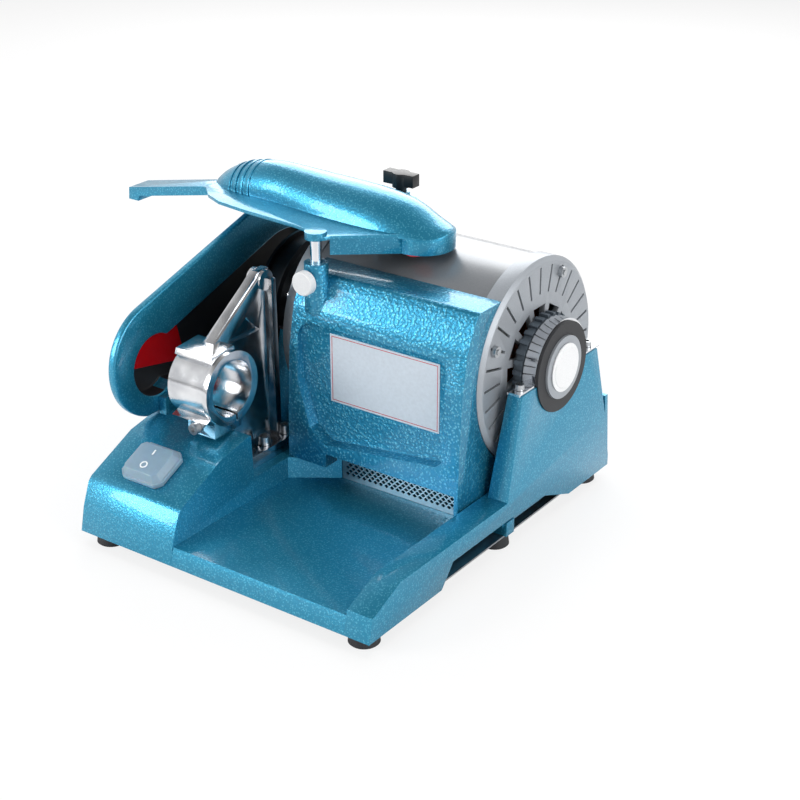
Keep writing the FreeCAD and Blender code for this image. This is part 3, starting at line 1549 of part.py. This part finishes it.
def lamp_hood():
    shell = size("hood_shell")
    depth = size("lamp_box_depth")
    length = size("hood_length")
    post_x = size("post_side") - half_width - hood_x
    post_y = size("post_back") - half_depth - hood_y
    body = new_body("lamp_hood")
    dome_loft(body, "Dome", dome_sections(as_term(0)), as_term(-1))
    rise = size("hood_rib_rise")
    for index in range(int(SIZES["hood_rib_count"])):
        left = size("hood_rib_pitch") * index + size("rib_inset") - length
        right = left + size("hood_rib_width")
        rows = [(x, wide + rise, high + rise)
                for x, (wide, high) in ((left, dome_section_at(left)), (right, dome_section_at(right)))]
        dome_loft(body, "Rib%d" % (index + 1), rows, as_term(-0.5))
    slab(body, "Brim", "XY", 0, size("brim_thickness"), brim_outline(post_x, post_y))
    slab(body, "Nose", "XY", -depth, -0.5, ("circle", 0, 0, size("nose_radius")))
    slab(body, "LampBox", "XY", -depth, 1.0, lamp_box_outline(as_term(0)))

    # Handle: sloping tongue with a lip at its end
    near = -size("handle_shift") - size("handle_width") / 2
    far = near + size("handle_width")
    root_x = 20 - length
    end = -length - size("handle_length")
    drop = -size("handle_drop")
    thick = size("handle_thickness")
    slab(body, "Handle", "XZ", near, far,
         [(root_x, 2), (-length, 1.5), (end, drop), (end - 1, drop - size("handle_lip")),
          (end + 11, drop - size("handle_lip")), (end + 12, drop + 2 - thick),
          (-length, 1.5 - thick), (root_x, -3)])

    # Hollow inside, then the socket for the post and the seat of the wing knob
    dome_loft(body, "DomeHollow", dome_sections(shell)[1:-1], as_term(-2), remove=True)
    cut(body, "NoseHollow", "XY", -depth - 1, 0, ("circle", 0, 0, size("nose_radius") - shell))
    cut(body, "LampBoxHollow", "XY", -depth - 1, 0.5, lamp_box_outline(shell))
    cut(body, "HandleHollow", "XZ", near + shell, far - shell,
        [(end + 14, drop - thick), (end + 14, drop + 2.2 - shell), (-length - 3, 1.5 - shell),
         (-length - 3, -2 - thick)])
    slab(body, "PostLobe", "XY", 0.0, size("lobe_height"), ("circle", post_x, post_y, size("lobe_radius")))
    cut(body, "PostSocket", "XY", -1, size("post_top") - hood_z + gap,
        ("circle", post_x, post_y, size("post_radius") + size("sliding_gap")))
    switch_side = size("lamp_switch_side")
    switch_front = size("lamp_switch_front")
    switch_radius = size("lamp_switch_radius")
    inner = size("nose_radius") - 1
    plate_left = switch_side - switch_radius - 2
    plate_half = root(inner * inner - plate_left * plate_left)
    slab(body, "SwitchFloor", "XY", -depth, shell - depth,
         ("arcs", [(plate_left, plate_half), (plate_left, -plate_half), (inner, 0)],
          {1: (inner, True), 2: (inner, True)}))
    cut(body, "SwitchBore", "XY", -depth - 1, shell - depth + 1,
        ("circle", switch_side, -switch_front, switch_radius + size("sliding_gap")))
    arm = -size("socket_right") - 1
    slab(body, "SocketArm", "XY", lamp_axis + size("socket_radius") + gap, size("dome_height") * 0.72,
         [(arm - 7, -4), (arm, -4), (arm, 4), (arm - 7, 4)])
    slab(body, "KnobSeat", "XY", 0.5, knob_seat,
         ("circle", -size("wing_knob_side"), size("wing_knob_back"), as_term(8)))
    return in_hood(body)


def hood_knob():
    """Wing knob: round hub with two blocky arms."""
    x = hood_x - size("wing_knob_side")
    y = hood_y + size("wing_knob_back")
    low = hood_z + knob_seat + gap
    width = size("wing_knob_width")
    height = size("wing_knob_height")
    stem = cylinder("hood_knob_stem", 5.0, 6.0, x, y, low)
    hub = cylinder("hood_knob_hub", 8.0, height - 4, x, y, low + 4)
    arms = box("hood_knob_arms", width, 10.0, height - 6, x - width / 2, y - 5, low + 6)
    return add(joined("hood_knob", stem, hub, arms))


def lamp_reflector():
    """Half pipe under the dome."""
    radius = size("reflector_radius")
    left = -size("reflector_left")
    right = -size("reflector_right")
    height = size("reflector_height")
    body = new_body("lamp_reflector")
    turned(body, "Pipe", "XZ", [(left, radius - 1), (right, radius - 1), (right, radius), (left, radius)],
           lift=height)
    cut(body, "Mouth", "XY", -40, height - 4,
        [(left - 1, -40), (right + 1, -40), (right + 1, 40), (left - 1, 40)])
    return in_hood(body)


def lamp_and_socket():
    height = lamp_axis
    right = -size("socket_right")
    left = right - size("socket_length")
    radius = size("socket_radius")
    body = new_body("lamp_socket")
    slab(body, "Cup", "YZ", left, right, ("circle", 0, height, radius))
    cut(body, "Mouth", "YZ", left - 1, right - 10, ("circle", 0, height, radius - 2))
    in_hood(body)
    lamp = size("lamp_radius")
    body = new_body("lamp_bulb")
    tip = left - size("lamp_length")
    neck = right - 10 - gap
    base = radius - 2 - gap
    turned(body, "Glass", "XZ",
           [(tip, 0), (tip, lamp * 0.4), (tip + lamp * 0.3, lamp * 0.8), (tip + lamp, lamp),
            (left - 20, lamp), (left - 2, base), (neck, base), (neck, 0)], lift=height)
    in_hood(body)


def lamp_switch():
    """Red push button under the nose."""
    x = hood_x + size("lamp_switch_side")
    y = hood_y - size("lamp_switch_front")
    low = hood_z - size("lamp_box_depth") - size("lamp_switch_proud")
    return add(cylinder("lamp_switch", size("lamp_switch_radius"), 10.0, x, y, low))


knob_seat = as_term(10.5)
lamp_axis = size("reflector_height") - 2
lamp_hood()
hood_knob()
lamp_reflector()
lamp_and_socket()
lamp_switch()


# Check every object and write one file for each sub-part

doc.recompute()
for item in doc.Objects:
    if "Invalid" in item.State or "Error" in item.State:
        raise RuntimeError("%s is not valid: %s" % (item.Label, item.State))

os.makedirs("parts", exist_ok=True)
for item in parts:
    if item.Shape.isNull() or not item.Shape.isValid():
        raise RuntimeError("%s has no valid shape" % item.Label)
    item.Shape.exportStep("parts/%s.step" % item.Label)
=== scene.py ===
import math

import bpy
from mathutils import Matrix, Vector


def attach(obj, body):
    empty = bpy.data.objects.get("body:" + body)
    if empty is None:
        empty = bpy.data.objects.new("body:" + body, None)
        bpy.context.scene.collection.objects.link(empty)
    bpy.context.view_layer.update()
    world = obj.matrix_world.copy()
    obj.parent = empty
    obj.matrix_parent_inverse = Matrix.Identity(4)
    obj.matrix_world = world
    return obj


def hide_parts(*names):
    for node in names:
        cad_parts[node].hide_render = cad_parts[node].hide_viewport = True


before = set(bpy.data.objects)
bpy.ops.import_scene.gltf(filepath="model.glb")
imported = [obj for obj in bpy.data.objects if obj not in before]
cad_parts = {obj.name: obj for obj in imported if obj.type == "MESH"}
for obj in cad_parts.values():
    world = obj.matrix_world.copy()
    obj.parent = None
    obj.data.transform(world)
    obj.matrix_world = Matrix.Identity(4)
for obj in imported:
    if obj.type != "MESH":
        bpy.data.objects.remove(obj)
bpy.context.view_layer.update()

# Camera at the photograph's place: in front and to the right of the machine, looking down on
# it with a short telephoto lens.
bpy.ops.object.camera_add(location=(0.8087, -1.0634, 0.735),
                          rotation=(math.radians(90 - 25.2), 0, math.radians(35.5)))
camera = bpy.context.object
camera.name = "camera"
camera.data.lens = 76.5
camera.data.sensor_width = 36
bpy.context.scene.camera = camera


# Studio: a pale floor under the machine and four soft boxes, above, behind, at the right and
# at the left. Polished metal shows the world as white walls under a darker ceiling.
def add_node(tree, kind, settings=None, links=None):
    """Add a shader node, set its properties and inputs, and link its inputs."""
    node = tree.nodes.new(kind)
    for name, value in (settings or {}).items():
        if isinstance(name, str) and hasattr(node, name):
            setattr(node, name, value)
        else:
            node.inputs[name].default_value = value
    for name, socket in (links or {}).items():
        tree.links.new(socket, node.inputs[name])
    return node


def linear(code):
    """Linear colour of an sRGB hex code."""
    values = [int(code[place:place + 2], 16) / 255 for place in (0, 2, 4)]
    return [v / 12.92 if v <= 0.04045 else ((v + 0.055) / 1.055) ** 2.4 for v in values] + [1.0]


def new_material(name):
    """Empty node material with its tree and its output node."""
    material = bpy.data.materials.new(name)
    material.use_nodes = True
    tree = material.node_tree
    tree.nodes.clear()
    return material, tree, add_node(tree, "ShaderNodeOutputMaterial")


bpy.ops.mesh.primitive_plane_add(size=12, location=(0, 0, 0))
floor = bpy.context.object
floor.name = "floor"
floor_paint, tree, output = new_material("matt_white_paper")
path = add_node(tree, "ShaderNodeLightPath")
paper = add_node(tree, "ShaderNodeBsdfDiffuse", {"Color": linear("F4F4F4")})
glow = add_node(tree, "ShaderNodeEmission", {"Color": linear("FFFFFF"), "Strength": 1.0})
share = add_node(tree, "ShaderNodeMath", {"operation": "MULTIPLY", 1: 0.8},
                 {0: path.outputs["Is Camera Ray"]})
mix = add_node(tree, "ShaderNodeMixShader", None,
               {0: share.outputs[0], 1: paper.outputs[0], 2: glow.outputs[0]})
tree.links.new(mix.outputs[0], output.inputs["Surface"])
floor.data.materials.append(floor_paint)

world = bpy.data.worlds.new("white_studio")
bpy.context.scene.world = world
world.use_nodes = True
tree = world.node_tree
tree.nodes.clear()
path = add_node(tree, "ShaderNodeLightPath")
seen = add_node(tree, "ShaderNodeMath", {"operation": "MAXIMUM"},
                {0: path.outputs["Is Camera Ray"], 1: path.outputs["Is Transmission Ray"]})
place = add_node(tree, "ShaderNodeTexCoord")
aim = add_node(tree, "ShaderNodeSeparateXYZ", None, {0: place.outputs["Generated"]})
fall = add_node(tree, "ShaderNodeMapRange",
                {"From Min": 0.45, "From Max": 0.9, "To Min": 0.8, "To Max": -0.05},
                {"Value": aim.outputs["Z"]})
shine = add_node(tree, "ShaderNodeMath", {"operation": "MULTIPLY_ADD", 2: 0.33},
                 {0: path.outputs["Is Glossy Ray"], 1: fall.outputs["Result"]})
strength = add_node(tree, "ShaderNodeMath", {"operation": "MAXIMUM"},
                    {0: seen.outputs[0], 1: shine.outputs[0]})
sky = add_node(tree, "ShaderNodeBackground", {"Color": linear("FFFFFF")},
               {"Strength": strength.outputs[0]})
add_node(tree, "ShaderNodeOutputWorld", None, {"Surface": sky.outputs[0]})
bpy.context.scene.view_settings.view_transform = "Standard"

# Each soft box: its name, its place in metres, its width in metres and its power in watts.
LAMP_TARGET = Vector((0, 0, 0.12))
LAMPS = [
    ("softbox_above", (0.1, 0.35, 1.6), 1.2, 12.0),
    ("softbox_behind", (-0.85, 1.45, 1.1), 1.4, 22.0),
    ("softbox_right", (1.7, -0.1, 0.75), 1.2, 16.0),
    ("softbox_left", (-1.0, -1.4, 0.8), 0.8, 18.0)]
for name, place, width, power in LAMPS:
    bpy.ops.object.light_add(type="AREA", location=place)
    lamp = bpy.context.object
    lamp.name = name
    lamp.data.size = width
    lamp.data.energy = power
    lamp.visible_glossy = name != "softbox_above"
    lamp.rotation_euler = (LAMP_TARGET - Vector(place)).to_track_quat("-Z", "Y").to_euler()


# Blue castings: base, front housing, belt guard and lamp hood are cast aluminium with
# hammertone enamel. The enamel pulls into small dimples about 2 mm apart and wraps every edge in
# a soft round. Each dimple is coloured lighter, partly the enamel's own mottle and partly a
# painted highlight for the metallic shine in it.
def hammertone(name, dimple, strength, dark, light):
    """Hammertone enamel: dark metallic blue, lighter in each dimple as mottle and painted
    highlight.
    """
    material, tree, output = new_material(name)
    place = add_node(tree, "ShaderNodeTexCoord")
    warp = add_node(tree, "ShaderNodeTexNoise", {"Scale": 0.7 / dimple, "Detail": 2.0},
                    {"Vector": place.outputs["Object"]})
    shift = add_node(tree, "ShaderNodeMixRGB", {"blend_type": "LINEAR_LIGHT", 0: dimple * 0.6},
                     {1: place.outputs["Object"], 2: warp.outputs["Color"]})
    cells = add_node(tree, "ShaderNodeTexVoronoi",
                     {"feature": "SMOOTH_F1", "Scale": 1 / dimple, "Smoothness": 0.35},
                     {"Vector": shift.outputs[0]})
    fine = add_node(tree, "ShaderNodeTexNoise", {"Scale": 4 / dimple, "Detail": 2.0},
                    {"Vector": place.outputs["Object"]})
    height = add_node(tree, "ShaderNodeMath", {"operation": "MULTIPLY_ADD", 1: 0.35},
                      {0: fine.outputs[0], 2: cells.outputs["Distance"]})
    shade = add_node(tree, "ShaderNodeValToRGB", None, {0: height.outputs[0]})
    shade.color_ramp.elements[0].position = 0.22
    shade.color_ramp.elements[0].color = linear(light)
    shade.color_ramp.elements[1].position = 0.62
    shade.color_ramp.elements[1].color = linear(dark)
    bump = add_node(tree, "ShaderNodeBump",
                    {"Strength": strength, "Distance": 0.0005, "invert": True},
                    {"Height": height.outputs[0]})
    skin = add_node(tree, "ShaderNodeBsdfPrincipled",
                    {"Metallic": 0.65, "Roughness": 0.32, "IOR": 1.5, "Coat Weight": 0.5,
                     "Coat Roughness": 0.08},
                    {"Base Color": shade.outputs[0], "Normal": bump.outputs[0]})
    tree.links.new(skin.outputs[0], output.inputs["Surface"])
    return material


def pick(piece):
    """Select one piece alone and make it active."""
    bpy.ops.object.select_all(action="DESELECT")
    piece.select_set(True)
    bpy.context.view_layer.objects.active = piece


def apply_modifier(piece, kind, **settings):
    """Add a modifier, set it and apply it."""
    pick(piece)
    bpy.ops.object.modifier_add(type=kind)
    modifier = piece.modifiers[-1]
    for name, value in settings.items():
        setattr(modifier, name, value)
    bpy.ops.object.modifier_apply(modifier=modifier.name)


def smooth(piece):
    """Shade a piece smooth, except at its sharp edges."""
    pick(piece)
    bpy.ops.object.shade_smooth_by_angle(angle=math.radians(35))


def worked_copy(node, name, width, material, body="base"):
    """Copy of a CAD casting with its points merged and its sharp edges rounded."""
    pick(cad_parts[node])
    bpy.ops.object.duplicate()
    piece = bpy.context.view_layer.objects.active
    piece.name = name
    piece.data.name = name
    bpy.ops.object.mode_set(mode="EDIT")
    bpy.ops.mesh.select_all(action="SELECT")
    bpy.ops.mesh.remove_doubles(threshold=0.00002)
    bpy.ops.mesh.dissolve_limited(angle_limit=math.radians(1))
    bpy.ops.object.mode_set(mode="OBJECT")
    apply_modifier(piece, "BEVEL", width=width, segments=3, limit_method="ANGLE",
                   angle_limit=math.radians(32), use_clamp_overlap=True)
    smooth(piece)
    piece.data.materials.clear()
    piece.data.materials.append(material)
    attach(piece, body)
    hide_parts(node)
    return piece


fine_enamel = hammertone("hammertone_enamel_fine", 0.0019, 0.3, "1F84A6", "52B0CC")
coarse_enamel = hammertone("hammertone_enamel_coarse", 0.0026, 0.8, "1C80A4", "6CC2DA")
base = worked_copy("base_casting", "base_shell", 0.0022, fine_enamel)
housing = worked_copy("front_housing", "housing_shell", 0.004, coarse_enamel)
hood = worked_copy("lamp_hood", "hood_shell", 0.0012, fine_enamel, "hood")


# Belt guard: the same casting finish outside. The pan behind the spindle is sprayed gloss red,
# so that an open drive warns the eye; the rest of its inside is painted shade in near black.
def plain(name, code, **settings):
    """Even material whose colour and finish are constants, with a fine unevenness in its skin."""
    material, tree, output = new_material(name)
    grain_size = settings.pop("grain", 0.001)
    depth = settings.pop("depth", 0.00005)
    place = add_node(tree, "ShaderNodeTexCoord")
    grain = add_node(tree, "ShaderNodeTexNoise", {"Scale": 1 / grain_size, "Detail": 3.0},
                     {"Vector": place.outputs["Object"]})
    tone = add_node(tree, "ShaderNodeHueSaturation", {"Color": linear(code)})
    light = add_node(tree, "ShaderNodeMapRange", {"To Min": 0.9, "To Max": 1.1},
                     {"Value": grain.outputs[0]})
    tree.links.new(light.outputs[0], tone.inputs["Value"])
    bump = add_node(tree, "ShaderNodeBump", {"Strength": 0.4, "Distance": depth},
                    {"Height": grain.outputs[0]})
    names = {key.replace("_", " ").title().replace("Ior", "IOR"): value
             for key, value in settings.items()}
    skin = add_node(tree, "ShaderNodeBsdfPrincipled", names,
                    {"Base Color": tone.outputs[0], "Normal": bump.outputs[0]})
    tree.links.new(skin.outputs[0], output.inputs["Surface"])
    return material


def split(piece, place, normal):
    """Cut every face of a piece along a plane and keep both sides."""
    pick(piece)
    bpy.ops.object.mode_set(mode="EDIT")
    bpy.ops.mesh.select_all(action="SELECT")
    bpy.ops.mesh.bisect(plane_co=place, plane_no=normal)
    bpy.ops.object.mode_set(mode="OBJECT")


pan_rear, pan_rear_normal = Vector((-0.157, -0.040, 0.14)), Vector((0, 1, 0.25))
pan_foot, pan_foot_normal = Vector((-0.157, -0.080, 0.126)), Vector((0, 0.2, 1))
guard_middle = Vector((0, 0.03, 0.14))
guard_floor, guard_rim = -0.1636, -0.1478
guard = worked_copy("belt_guard", "guard_shell", 0.002, fine_enamel)
split(guard, pan_rear, pan_rear_normal)
split(guard, pan_foot, pan_foot_normal)
guard.data.materials.append(
    plain("gloss_enamel_red", "C4060F", roughness=0.25, ior=1.5, grain=0.004, depth=0.0001))
guard.data.materials.append(
    plain("painted_shade_black", "141518", roughness=0.55, grain=0.002, depth=0.0001))
# Inside faces near and above the spindle get the red; all other inside faces get the near-black
# painted shade.
for face in guard.data.polygons:
    outward = face.center - guard_middle
    outward.x = 0
    wall_inside = abs(face.normal.x) < 0.5 and outward.dot(face.normal) < 0
    if guard_floor < face.center.x < guard_rim and (face.normal.x > 0.5 or wall_inside):
        near = (face.center - pan_rear).dot(pan_rear_normal) < 0
        above = (face.center - pan_foot).dot(pan_foot_normal) > 0
        face.material_index = 1 if near and above else 2


# Motor: pressed steel shell and die-cast end bells in satin grey enamel, held between the
# two pedestals. The cooling slots and the bolt seats are cast in.
def dress(material, *names):
    """Give CAD nodes a finish through their material slots."""
    for name in names:
        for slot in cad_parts[name].material_slots:
            slot.material = material


shell_grey = plain("satin_enamel_grey", "8B8E92", metallic=0.55, roughness=0.3, coat_weight=0.4,
                   coat_roughness=0.15, grain=0.0015, depth=0.00004)
cast_grey = plain("die_cast_enamel_grey", "9DA2A8", metallic=0.45, roughness=0.42, grain=0.0012,
                  depth=0.0002)
slot_shade_black = plain("shadowed_casting_black", "1A1B1D", roughness=0.6)
dress(shell_grey, "motor_shell")
motor_middle = 0.0247
bell_face = 0.105
slot_depth = 0.0022
for node, outward in (("motor_bell_right", 1), ("motor_bell_left", -1)):
    bell = worked_copy(node, node.replace("motor", "cast"), 0.0008, cast_grey)
    # The floors of the cooling slots take a near-black painted shade for the shadow inside them.
    bell.data.materials.append(slot_shade_black)
    for face in bell.data.polygons:
        depth = bell_face - outward * (face.center.x - motor_middle)
        if abs(depth - slot_depth) < 0.0004 and outward * face.normal.x > 0.9:
            face.material_index = 1
steel = plain("turned_steel", "B4B7BA", metallic=1.0, roughness=0.28, grain=0.0008, depth=0.00003)
dress(steel, "motor_shaft", "bearing_right", "bearing_left", "tie_bolt_1", "tie_bolt_2",
      "tie_bolt_3", "tie_bolt_4", "bracket_bolt_front", "bracket_bolt_back", "clamp_screw",
      "strap_screw_right_front", "strap_screw_right_back", "strap_screw_left_front",
      "strap_screw_left_back")
dress(plain("laminated_steel", "4A4B4E", metallic=0.8, roughness=0.5), "stator_core", "rotor_core")
dress(plain("enamelled_copper_wire", "8A4A22", metallic=0.7, roughness=0.4, grain=0.0012,
            depth=0.0004), "stator_winding_right", "stator_winding_left")


# Resilient mounts: a toothed grey collar and a rubber ring round each hub, held down by a
# chromed steel strap, with a white plastic cap over the right hub.
dress(plain("dark_grey_casting", "59636C", metallic=0.4, roughness=0.45), "mount_collar_right",
      "mount_collar_left")
black_rubber = plain("moulded_black_rubber", "26272A", roughness=0.62, grain=0.0006, depth=0.0001)
dress(black_rubber, "rubber_ring_right", "rubber_ring_left", "foot_1", "foot_2", "foot_3",
      "foot_4", "foot_5", "foot_6")
chrome = plain("bright_chrome", "D9DBDE", metallic=1.0, roughness=0.08, grain=0.02, depth=0.00002)
dress(chrome, "mount_strap_right", "mount_strap_left", "lamp_post")
white_plastic = plain("moulded_white_plastic", "E6E7E8", roughness=0.35, ior=1.46)
dress(white_plastic, "hub_cap", "post_knob", "switch_rocker")


# Drive pulley: turned and black anodised aluminium, fixed on the motor's shaft inside the
# belt guard.
black_anodised = plain("black_anodised_aluminium", "1B1C1F", metallic=0.6, roughness=0.33)
dress(black_anodised, "motor_pulley")


# Spindle bracket: aluminium casting, polished all over by hand, so it is bright but uneven,
# with dull patches where the casting skin is left.
def polished_casting():
    """Hand-polished aluminium: wavy bright metal with duller patches and fine pits."""
    material, tree, output = new_material("polished_cast_aluminium")
    place = add_node(tree, "ShaderNodeTexCoord")
    waves = add_node(tree, "ShaderNodeTexNoise", {"Scale": 45.0, "Detail": 2.0, "Roughness": 0.45},
                     {"Vector": place.outputs["Object"]})
    pits = add_node(tree, "ShaderNodeTexNoise", {"Scale": 900.0, "Detail": 2.0},
                    {"Vector": place.outputs["Object"]})
    rough = add_node(tree, "ShaderNodeMapRange",
                     {"From Min": 0.35, "From Max": 0.65, "To Min": 0.07, "To Max": 0.2},
                     {"Value": waves.outputs[0]})
    tone = add_node(tree, "ShaderNodeValToRGB", None, {0: waves.outputs[0]})
    tone.color_ramp.elements[0].position = 0.3
    tone.color_ramp.elements[0].color = linear("B4B6BA")
    tone.color_ramp.elements[1].position = 0.6
    tone.color_ramp.elements[1].color = linear("DCDDDF")
    height = add_node(tree, "ShaderNodeMath", {"operation": "MULTIPLY_ADD", 1: 4.0},
                      {0: waves.outputs[0], 2: pits.outputs[0]})
    bump = add_node(tree, "ShaderNodeBump", {"Strength": 0.2, "Distance": 0.0004},
                    {"Height": height.outputs[0]})
    metal = add_node(tree, "ShaderNodeBsdfPrincipled", {"Metallic": 1.0},
                     {"Base Color": tone.outputs[0], "Roughness": rough.outputs[0],
                      "Normal": bump.outputs[0]})
    tree.links.new(metal.outputs[0], output.inputs["Surface"])
    return material


bracket = worked_copy("spindle_bracket", "bracket_casting", 0.0009, polished_casting(), "bracket")


# Suction grille, dust tube, bottom cover, reflector and capacitor can: sheet steel, zinc
# plated to a dull grey shine, and perforated for the grille.
zinc = plain("zinc_plated_steel", "A6A9AC", metallic=1.0, roughness=0.35, grain=0.003,
             depth=0.00005)
dress(zinc, "bottom_cover", "dust_outlet", "capacitor", "lamp_reflector", "suction_grille")


# Label plate: a bare printed sheet with a thin red border, glued to the floor of the recess
# in the front housing.
def set_edit(piece):
    """Open a piece in edit mode with nothing selected."""
    pick(piece)
    bpy.ops.object.mode_set(mode="EDIT")
    bpy.ops.mesh.select_mode(type="FACE")
    bpy.ops.mesh.select_all(action="DESELECT")


def select_faces(piece, wanted):
    """Select the faces of a piece in edit mode whose centre and normal pass a test."""
    bpy.ops.object.mode_set(mode="OBJECT")
    for polygon in piece.data.polygons:
        polygon.select = wanted(polygon.center, polygon.normal)
    bpy.ops.object.mode_set(mode="EDIT")


def block(name, centre, size, turn=(0, 0, 0)):
    """Box to be modelled further, with its scale applied."""
    bpy.ops.mesh.primitive_cube_add(size=1, location=centre, rotation=turn)
    piece = bpy.context.object
    piece.name = name
    piece.data.name = name
    piece.scale = size
    bpy.ops.object.transform_apply(location=False, rotation=False, scale=True)
    return piece


def settle(piece, body, *materials):
    """Apply a piece's place, dress it and fix it to its body."""
    bpy.ops.object.mode_set(mode="OBJECT")
    pick(piece)
    bpy.ops.object.transform_apply(location=True, rotation=True, scale=True)
    if not piece.data.materials:
        for material in materials:
            piece.data.materials.append(material)
    smooth(piece)
    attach(piece, body)


label_size = (0.113, 0.0005, 0.063)
label_margin = 0.0016
label_border = 0.0007
label = block("label_plate", (0.0435, -0.01375, 0.1395), label_size)
label.data.materials.append(
    plain("printed_label_white", "D3DCE5", roughness=0.35, grain=0.003, depth=0.00002))
label.data.materials.append(plain("printed_label_red", "C23A48", roughness=0.4))
set_edit(label)
select_faces(label, lambda centre, normal: normal.y < -0.9)
bpy.ops.mesh.inset(thickness=label_margin, depth=0)
bpy.ops.mesh.inset(thickness=label_border, depth=0)
bpy.ops.object.mode_set(mode="OBJECT")
for face in label.data.polygons:
    rim = min(label_size[0] / 2 - abs(face.center.x), label_size[2] / 2 - abs(face.center.z))
    if face.normal.y < -0.9 and label_margin < rim < label_margin + label_border:
        face.material_index = 1
settle(label, "base")


# Switch: black frame and white rocker under a soft silicone boot, which carries a moulded
# stroke and ring over the two ends of the rocker.
black_plastic = plain("moulded_black_plastic", "17181A", roughness=0.4, ior=1.46, grain=0.0008)
dress(black_plastic, "switch_frame", "power_inlet", "lamp_socket", "hood_knob")
silicone = plain("translucent_silicone", "A9BED0", roughness=0.28, ior=1.41,
                 transmission_weight=0.35, subsurface_weight=0.3, grain=0.004, depth=0.00004)
boot = worked_copy("switch_boot", "boot_cover", 0.0018, silicone)
mark_white = plain("moulded_mark_white", "F2F5F7", roughness=0.4)
facet_rise, facet_run = 23.3, 50.5
slope = math.atan(facet_rise / facet_run)
crown = Vector((-0.1045, -0.14325, 0.07005))
mark_lift = 0.0110
mark_depth = 0.0007


def on_crown(across, along, height):
    """Point on the sloping crown of the boot, in metres."""
    return (crown.x + across, crown.y + along * math.cos(slope) - height * math.sin(slope),
            crown.z + along * math.sin(slope) + height * math.cos(slope))


stroke = block("switch_mark_on", on_crown(0, 0.0075, mark_lift), (0.0013, 0.0052, mark_depth),
               (slope, 0, 0))
set_edit(stroke)
select_faces(stroke, lambda centre, normal: normal.z > 0.9)
bpy.ops.mesh.inset(thickness=0.0002, depth=0)
bpy.ops.mesh.extrude_region_move(TRANSFORM_OT_translate={"value": (0, 0, 0.0001)})
settle(stroke, "base", mark_white)
bpy.ops.mesh.primitive_cylinder_add(
    vertices=40, radius=0.0036, depth=mark_depth, end_fill_type="NGON",
    location=on_crown(0, -0.0070, mark_lift), rotation=(slope, 0, 0))
ring = bpy.context.object
ring.name = "switch_mark_off"
set_edit(ring)
select_faces(ring, lambda centre, normal: abs(normal.z) > 0.9)
bpy.ops.mesh.inset(thickness=0.0012, depth=0)
bpy.ops.mesh.bridge_edge_loops()
settle(ring, "base", mark_white)


# Hood knob: moulded black wing knob with a domed top and hollowed flanks, screwed down to
# hold the hood on its post.
knob = worked_copy("hood_knob", "wing_knob", 0.0022, black_plastic, "hood_knob")


# Lamp: frosted bulb and the red switch button under the hood's nose.
dress(plain("frosted_glass", "F4F2EA", roughness=0.4, ior=1.5, transmission_weight=0.3),
      "lamp_bulb")
dress(plain("translucent_red_plastic", "E0161A", roughness=0.25, ior=1.49), "lamp_switch")
